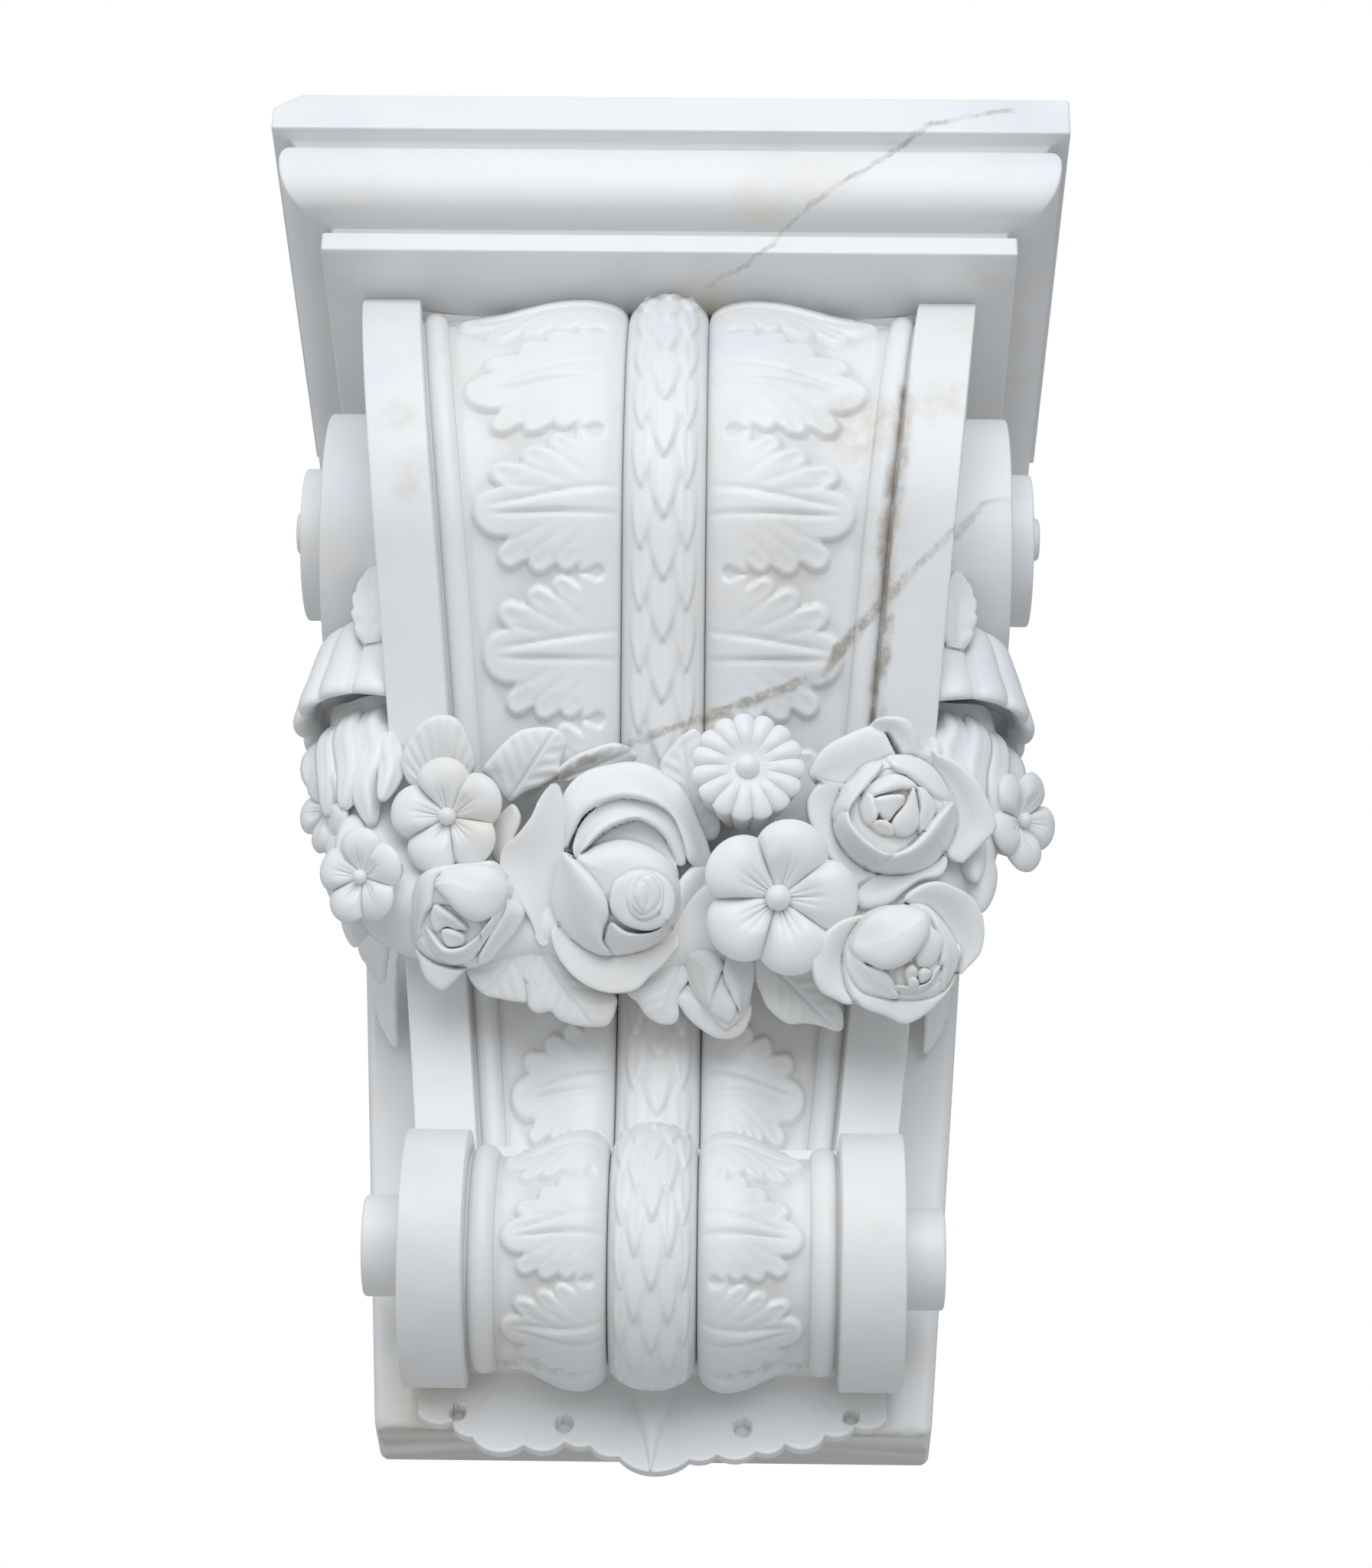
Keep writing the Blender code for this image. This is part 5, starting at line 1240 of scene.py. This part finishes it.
def leaf_blade(root, tip, normal, breadth, teeth):
    """A leaf from root to tip: a toothed outline, two swelling halves, side veins that run to the teeth."""
    root, tip = np.array(root), np.array(tip)
    across = unit(np.cross(unit(normal), tip - root))
    out = unit(np.cross(tip - root, across))

    def place(q, v):
        saw = (v * teeth) % 1.0
        outline = np.sin(np.pi * np.clip(0.10 + 0.885 * v, 0, 1) ** 0.85) ** 0.75
        wide = outline * (1 - 0.14 * (1 - saw) ** 2) + 0.03
        halves = 2.6 * np.sqrt(np.clip(np.abs(q) * (1.25 - np.abs(q)), 0, 1)) - 0.8
        ribs = 0.7 * np.sin(2 * np.pi * (v * teeth - 0.55 * np.abs(q))) * np.abs(q) * (1 - v)
        height = 16 * v * (1 - v) - 5.0 * v ** 4 + halves * (1 - 0.6 * v) + ribs
        middle = root + v[..., None] * (tip - root)
        return middle + (q * breadth * wide)[..., None] * across + height[..., None] * MM * out
    return thin(place, 3.2 * MM)


print("points of one thin leaf:", len(leaf_blade((0, 0, 0), (0, 0, 0.05), FORWARD, 0.01, 5)[0]))


# %% Husks and buds
def curve(points, t):
    """A smooth line through a few points, read at the shares t."""
    p = np.asarray(points, float)
    p = np.concatenate([2 * p[:1] - p[1:2], p, 2 * p[-1:] - p[-2:-1]])
    u = np.clip(t, 0, 1) * (len(points) - 1)
    i = np.minimum(u.astype(int), len(points) - 2)
    return cubic(*(p[i + k] for k in range(4)), (u - i)[..., None])


def tube(middle, facing, across, out):
    """Rings about a line: how far each point of a ring lies to the side and outwards."""
    along = unit(np.gradient(middle, axis=0))
    right = unit(np.cross(along, facing))
    rings = across[..., None] * right[:, None] + out[..., None] * np.cross(along, right)[:, None]
    return ring_stack(middle[:, None] + rings)


def strand(side, points, radius):
    """A limp husk: a flattened, ribbed tube along a winding line in mm, closed at its ends."""
    v = np.linspace(0.01, 0.99, 40)
    angle = np.linspace(0, 2 * np.pi, 18, endpoint=False)
    size = MM * radius * (np.sin(np.pi * v) ** 0.5)[:, None] * (1 + 0.16 * np.cos(4 * angle))
    middle = MM * curve(np.array(points) * (side, 1, 1), v)
    return tube(middle, (0.0, 1.0, 0.3), 1.25 * size * np.cos(angle), size * np.sin(angle))


def spindle(root, tip, radius):
    """A bud about a line: its radius swells and closes as a power of a sine."""
    root, line = np.array(root), np.array(tip) - np.array(root)
    v = np.linspace(0.01, 0.99, 26)[:, None]
    angle = np.linspace(0, 2 * np.pi, 28, endpoint=False)[None]
    swell = radius * np.sin(np.pi * v ** 0.8) ** 0.6 + 0 * angle
    return ring_stack(around(root, axes_of(line, (0.3, 0.9, 0.2)), swell, angle, v * np.linalg.norm(line)))


print("points of one bud:", len(spindle((0, 0, 0), (0, 0, 0.04), 0.01)[0]))

# %% The fluted cups
CUP_FLUTES = 12
# Radius and height of the cup's outline in mm: down the outside, over the lip and up inside.
CUP_OUTLINE = (
    (20, -30), (33, -25), (39.5, -16), (42, -4), (43.5, 8), (45.5, 18), (46, 24), (44, 28), (40, 27),
    (36, 20), (32, 8), (6, 4),
)


def fluted_cup(centre, axis):
    """A bell that opens downwards: fluted outside, with a thick scalloped lip and a hollow inside."""
    t = np.linspace(0, 1, 54)
    line = curve(CUP_OUTLINE, t)
    angle = np.linspace(0, 2 * np.pi, CUP_FLUTES * 12, endpoint=False)[None]
    flute = np.abs(np.cos(CUP_FLUTES * angle / 2)) ** 0.5
    depth = 0.11 * soft(t, 0.05, 0.2) * (1 - 0.5 * soft(t, 0.62, 0.8))
    radius = MM * line[:, :1] * (1 - depth[:, None] * (1 - flute))
    height = MM * (line[:, 1:] + 3.0 * flute * soft(t, 0.35, 0.55)[:, None])
    return ring_stack(around(centre, axes_of(axis, (0, -1, 0)), radius, angle, height))


print("points of one cup:", len(fluted_cup((0, 0, 0), (0, 0, -1))[0]))

# %% Hang a cup and its bunch on each side
# Points of each husk in mm with its radius; ends and radius of each bud; ends, direction, breadth
# and teeth of each small leaf. They are for the right side, and the left is its mirror image.
HUSKS = (
    (((149, -163, 40), (154, -170, 20), (150, -173, 0), (155, -172, -20), (151, -168, -42)), 7.5),
    (((162, -160, 38), (166, -168, 16), (163, -171, -8), (167, -168, -32)), 7.0),
    (((172, -150, 36), (176, -158, 16), (174, -162, -8), (176, -158, -30)), 7.0),
    (((180, -138, 34), (184, -144, 12), (182, -146, -8)), 7.5),
    (((141, -168, 20), (145, -176, 4), (142, -180, -14), (146, -180, -34)), 5.5),
)
BUDS = (
    ((0.160, -0.158, -0.028), (0.165, -0.164, -0.070), 0.0090),
    ((0.168, -0.150, -0.040), (0.168, -0.150, -0.080), 0.0095),
    ((0.160, -0.134, -0.056), (0.160, -0.132, -0.094), 0.0090),
)
ON_CUP = ((0.156, -0.188, 0.062), (0.159, -0.192, 0.112), (0.2, -0.95, 0.0), 0.010, 5)
SMALL_LEAVES = (
    ((0.150, -0.120, -0.040), (0.152, -0.092, -0.092), (0.7, -0.65, -0.3), 0.016, 5),
    ((0.147, -0.060, -0.045), (0.1465, -0.052, -0.108), (0.75, -0.65, 0.0), 0.011, 6),
)


def mirrored_leaf(mirror, root, tip, facing, breadth, teeth):
    """A small leaf with its places and its direction mirrored where the mirror's x is -1."""
    return leaf_blade(root * mirror, tip * mirror, facing * mirror, breadth, teeth)


for side, word in SIDES:
    mirror = np.array((side, 1, 1))
    cup = fluted_cup((side * 0.152, -0.146, 0.060), (side * 0.10, 0.0, -1.0))
    piece(f"cup_{word}", [cup, mirrored_leaf(mirror, *ON_CUP)], FLOWER_SHARP)
    bunch = [strand(side, points, radius) for points, radius in HUSKS]
    bunch += [spindle(root * mirror, tip * mirror, radius) for root, tip, radius in BUDS]
    bunch += [mirrored_leaf(mirror, *leaf) for leaf in SMALL_LEAVES]
    piece(f"husks_{word}", bunch, FLOWER_SHARP)

# %% [markdown]
# ## The stone behind the flowers
#
# Between the flowers one looks into the garland's body, a swag of lumpy stone that hangs from cup to
# cup. It is a tube along a smooth line, a little thicker where the roses sit.

# %% The swag behind the flowers
RIGHT_HALF = (
    (0.0605, -0.137, -0.079), (0.118, -0.143, -0.076), (0.149, -0.139, -0.048), (0.154, -0.137, 0.003),
    (0.1527, -0.141, 0.044),
)
path = [(-x, y, z) for x, y, z in RIGHT_HALF[::-1]] + [(0.0, -0.138, -0.080)] + list(RIGHT_HALF)
thickness = np.array([27, 28, 26, 28, 30, 30, 30, 28, 26, 28, 27]) * MM
share = np.linspace(0, 1, 120)
angle = np.linspace(0, 2 * np.pi, 40, endpoint=False)
radius = np.interp(share, np.linspace(0, 1, len(thickness)), thickness)[:, None]
lumps = radius * (1 + 0.06 * np.sin(5 * angle + 40 * share[:, None]))
swag = tube(curve(path, share), (0.0, 1.0, 0.35), lumps * np.cos(angle), lumps * np.sin(angle))
piece("swag", [swag], FLOWER_SHARP)

# %% [markdown]
# ## The marble
#
# White marble isn't one colour: it has soft grey clouds and tan iron stains, and dust and painted shade
# darken its crevices. An image of marble would need unwrapping and would break at every edge of a
# carving this deep. Noise in the piece's own space runs through the block as the real clouds do.

# %% A material made of nodes
MARBLE = bpy.data.materials.new("white_marble")
MARBLE.use_nodes = True
tree = MARBLE.node_tree
shader = tree.nodes["Principled BSDF"]
place = tree.nodes.new("ShaderNodeTexCoord").outputs["Object"]


def node(kind, inputs, out=0, **settings):
    """A new node with its settings and inputs, sockets or plain values; returns one of its outputs."""
    made_node = tree.nodes.new("ShaderNode" + kind)
    for key, value in settings.items():
        setattr(made_node, key, value)
    for key, value in inputs.items():
        socket = made_node.inputs[key]
        if isinstance(value, bpy.types.NodeSocket):
            tree.links.new(value, socket)
        else:
            socket.default_value = value
    return made_node.outputs[out]


def noise(scale, detail, rough):
    """Cloudy values from 0 to 1: the scale is in clouds a metre."""
    return node("TexNoise", {"Vector": place, "Scale": scale, "Detail": detail, "Roughness": rough})


print("nodes at the start:", len(tree.nodes))


# %% White, clouds, warmth, and dust with painted shade
def number(operation, a, b=0.0):
    """One sum, product or other operation on two values."""
    return node("Math", {0: a, 1: b}, operation=operation)


def times(first, *others):
    """The product of any number of values."""
    for other in others:
        first = number("MULTIPLY", first, other)
    return first


def ramp(value, low, high, to_low=0.0, to_high=1.0):
    """A smooth step between low and high, from one result to another."""
    settings = {"Value": value, "From Min": low, "From Max": high, "To Min": to_low, "To Max": to_high}
    return node("MapRange", settings, interpolation_type="SMOOTHSTEP", clamp=True)


def tint(colour, under, amount):
    """One colour laid over another by an amount from 0 to 1."""
    return node("Mix", {"Factor": amount, "A": under, "B": colour}, out=2, data_type="RGBA")


WHITE, CLOUD, WARM = (0.815, 0.815, 0.81, 1), (0.71, 0.72, 0.74, 1), (0.79, 0.74, 0.67, 1)
# DUST_AND_SHADE is the brown-grey of dust and of painted shade.
DUST_AND_SHADE, VEIN, STAIN = (0.46, 0.41, 0.36, 1), (0.34, 0.29, 0.24, 1), (0.62, 0.53, 0.43, 1)
colour = tint(CLOUD, WHITE, ramp(noise(7.0, 5.0, 0.55), 0.46, 0.72, 0.0, 0.80))
colour = tint(WARM, colour, ramp(noise(11.0, 4.0, 0.6), 0.53, 0.72, 0.0, 0.80))
# Dust and painted shade: the deeper a point lies in a crevice, the more brown-grey is laid over the white.
crevice = node("Attribute", {}, attribute_name="crevice", out=2)
colour = tint(DUST_AND_SHADE, colour, ramp(crevice, 0.25, 1.0, 0.0, 0.22))
print("nodes for white, clouds, warmth and dust:", len(tree.nodes))

# %% [markdown]
# ## Veins and stains
#
# A vein is a sheet through the block, where the stone once cracked and healed with darker grains. So it
# is written as a plane in the piece's own space, bent by noise. It then runs on from one surface to
# the next, as in the stone: over the slab's edge, across the half round and down the leaves. A stain
# is a ball of soaked stone with a ragged edge.

# %% Sheets and spots
parts = node("SeparateXYZ", {"Vector": place})
AXES = {letter: parts.node.outputs[letter] for letter in "XYZ"}
WANDER = times(number("SUBTRACT", noise(16.0, 5.0, 0.65), 0.5), 0.022)
PATCHY = ramp(noise(60.0, 4.0, 0.7), 0.38, 0.62, 0.25, 1.0)
AT_FRONT = ramp(AXES["Y"], -0.10, -0.06, 1.0, 0.0)


def between(letter, low, high, blend=0.004):
    """1 where a coordinate lies between two places, 0 outside, with a soft change."""
    inside = ramp(AXES[letter], low - blend, low + blend)
    return times(inside, ramp(AXES[letter], high - blend, high + blend, 1.0, 0.0))


def vein(normal, offset, x_range, z_range, width, amount):
    """A sheet through the stone: a plane bent by noise, seen as a thin patchy line where it comes out."""
    height = node("VectorMath", {0: place, 1: normal}, out=1, operation="DOT_PRODUCT")
    away = number("ABSOLUTE", number("ADD", number("SUBTRACT", height, offset), WANDER))
    line = ramp(away, width * 0.25, width, amount, 0.0)
    return times(line, PATCHY, AT_FRONT, between("X", *x_range), between("Z", *z_range))


def stain(centre, radius, amount):
    """A round soaked spot with a ragged edge: the distance from its middle, bent by noise."""
    away = node("VectorMath", {0: place, 1: centre}, out=1, operation="DISTANCE")
    return times(ramp(number("ADD", away, times(WANDER, 2.0)), radius * 0.3, radius, amount, 0.0), PATCHY)


print("nodes for the axes and the noise:", len(tree.nodes))

# %% Lay the veins and stains
# A vein: direction and place of its plane, reach in X and in Z, width and strength.
# A stain: middle, radius and strength.
UPPER, LOWER = (0.262, 0.36), (-0.04, 0.15)
SHEETS = (
    ((-0.1035, -0.6707, 0.7345), 0.4329, (0.140, 0.188), UPPER, 0.0020, 0.55),
    ((-0.5698, -0.5369, 0.6221), 0.2886, (0.078, 0.142), UPPER, 0.0022, 0.60),
    ((-0.6625, -0.4876, 0.5686), 0.2522, (0.020, 0.078), UPPER, 0.0020, 0.45),
    ((-0.1676, -0.5867, 0.7923), 0.2060, (0.170, 0.200), LOWER, 0.0028, 0.45),
    ((-0.6796, -0.4077, 0.6099), 0.0534, (0.127, 0.171), LOWER, 0.0036, 0.62),
    ((-0.7743, -0.3450, 0.5305), 0.0210, (0.087, 0.128), LOWER, 0.0050, 0.90),
    ((-0.3158, -0.5335, 0.7847), 0.1079, (0.024, 0.088), LOWER, 0.0038, 0.75),
    ((-0.3981, -0.5163, 0.7582), 0.1022, (-0.082, 0.025), LOWER, 0.0034, 0.65),
    ((0.9952, 0.0, -0.0975), 0.1100, (0.090, 0.130), (0.020, 0.185), 0.0065, 0.75),
)
SPOTS = (
    ((0.106, -0.262, 0.152), 0.030, 0.60), ((0.113, -0.245, 0.100), 0.026, 0.50),
    ((0.116, -0.232, 0.072), 0.020, 0.45), ((0.149, -0.268, 0.168), 0.020, 0.50),
    ((-0.142, -0.267, 0.156), 0.020, 0.45), ((-0.133, -0.258, 0.122), 0.020, 0.40),
    ((0.070, -0.267, 0.189), 0.008, 0.45), ((0.143, -0.222, 0.286), 0.010, 0.40),
    ((0.087, -0.198, 0.038), 0.010, 0.60), ((0.135, -0.185, -0.010), 0.026, 0.20),
    ((-0.02, -0.120, -0.130), 0.040, 0.20), ((0.060, -0.120, -0.135), 0.040, 0.25),
)
for sheet in SHEETS:
    colour = tint(VEIN, colour, vein(*sheet))
for spot in SPOTS:
    colour = tint(STAIN, colour, stain(*spot))
# Painted shade on the back plate's flat underside, laid on as brown-grey.
painted_shade_under_plate = times(ramp(AXES["Z"], -0.3252, -0.3238, 1.0, 0.0), ramp(AXES["Y"], -0.050, -0.044))
colour = tint(DUST_AND_SHADE, colour, times(painted_shade_under_plate, 0.55))
print("nodes in all:", len(tree.nodes))

# %% Polish the marble and give it to every piece
fine = node("Bump", {"Strength": 0.12, "Distance": 0.0006, "Height": noise(420.0, 4.0, 0.6)})
tree.links.new(fine, shader.inputs["Normal"])
tree.links.new(colour, shader.inputs["Base Color"])
shader.inputs["Roughness"].default_value = 0.42
for obj in made.values():
    obj.data.materials.append(MARBLE)
print("pieces of marble:", len(made))

# %% [markdown]
# ## Daylight without a sun
#
# The light is an open sky's: bright from above and in front, with soft grey undersides. A small lamp
# would cut hard shadows into the relief, so a white surround gives the fill, and two wide lamps above
# give the direction.

# %% Lamps
SKY_LIGHT, MIDDLE_OF_CORBEL = (0.90, 0.95, 1.0), (0, -0.15, 0)


def aim(away):
    """Axes of a thing that looks along minus away: right, up and away, as columns."""
    back = unit(away)
    right = unit(np.cross((0.0, 0.0, 1.0), back))
    return np.stack([right, np.cross(back, right), back], axis=-1).tolist()


def lamp(name, where, size, power):
    """A square soft lamp that faces the corbel."""
    light = bpy.data.lights.new(name, "AREA")
    light.size, light.energy, light.color = size, power, SKY_LIGHT
    obj = bpy.data.objects.new(name, light)
    obj.location = where
    obj.rotation_euler = Matrix(aim(np.subtract(where, MIDDLE_OF_CORBEL))).to_euler()
    bpy.context.scene.collection.objects.link(obj)
    print(f"{name}: {power} W")


lamp("sky_front", (0.25, -2.5, 0.6), 2.2, 42)
lamp("sky_left", (-1.9, -1.2, 0.8), 1.4, 10)

# %% The white surround
# The camera sees plain white; the stone gets a weaker and slightly cooler light from it.
FILL, FILL_COLOUR = 0.44, (0.93, 0.96, 1.0, 1)
world = bpy.data.worlds.new("white_surround")
world.use_nodes = True
bpy.context.scene.world = world
sky = world.node_tree
surround = sky.nodes["Background"]
seen = sky.nodes.new("ShaderNodeLightPath").outputs["Is Camera Ray"]
strength = sky.nodes.new("ShaderNodeMapRange")
strength.inputs["To Min"].default_value = FILL
shade = sky.nodes.new("ShaderNodeMix")
shade.data_type = "RGBA"
shade.inputs["A"].default_value = FILL_COLOUR
shade.inputs["B"].default_value = (1, 1, 1, 1)
sky.links.new(seen, strength.inputs["Value"])
sky.links.new(seen, shade.inputs["Factor"])
sky.links.new(strength.outputs["Result"], surround.inputs["Strength"])
sky.links.new(shade.outputs["Result"], surround.inputs["Color"])
print("light from the surround:", FILL)

# %% The floor
FLOOR_Z, FLOOR_HALF = -1.75, 4
corners = [(x * FLOOR_HALF, y * FLOOR_HALF, FLOOR_Z) for x, y in ((-1, -1), (1, -1), (1, 1), (-1, 1))]
floor_mesh = bpy.data.meshes.new("floor")
floor_mesh.from_pydata(corners, [], [(0, 1, 2, 3)])
floor = bpy.data.objects.new("floor", floor_mesh)
bpy.context.scene.collection.objects.link(floor)
pale = bpy.data.materials.new("pale_floor")
pale.use_nodes = True
pale.node_tree.nodes["Principled BSDF"].inputs["Base Color"].default_value = (0.80, 0.80, 0.79, 1)
pale.node_tree.nodes["Principled BSDF"].inputs["Roughness"].default_value = 0.9
floor_mesh.materials.append(pale)
print("floor", -FLOOR_Z, "m below the corbel's middle")

# %% [markdown]
# ## The camera
#
# The camera stands below the corbel and looks up at it through a long lens, as one does at a corbel
# on a wall. Its place and angles were found by fitting straight edges of the cap and the bracket. The
# three directions it looks along follow from turns to the side, upwards and about its own axis.

# %% Camera
EYE = (0.03985, -1.89208, -1.13276)
PITCH, YAW, TILT = 0.575959, -0.01553, 0.017987
FOCAL, FRAME_HIGH, FILM = 5078.62, 2048, 36.0
ahead = np.array([math.sin(YAW) * math.cos(PITCH), math.cos(YAW) * math.cos(PITCH), math.sin(PITCH)])
level = np.array([math.cos(YAW), -math.sin(YAW), 0.0])
above = np.cross(level, ahead)
right = math.cos(TILT) * level + math.sin(TILT) * above
up = math.cos(TILT) * above - math.sin(TILT) * level
camera = bpy.data.objects.new("camera", bpy.data.cameras.new("camera"))
camera.data.sensor_width = FILM
camera.data.lens = FOCAL / FRAME_HIGH * FILM
turned = Matrix(np.stack([right, up, -ahead], axis=-1).tolist()).to_4x4()
camera.matrix_world = Matrix.Translation(EYE) @ turned
bpy.context.scene.collection.objects.link(camera)
bpy.context.scene.camera = camera
bpy.context.scene.view_settings.view_transform = "Standard"
print("lens:", round(camera.data.lens, 1), "mm, looking up", round(math.degrees(PITCH)), "degrees")
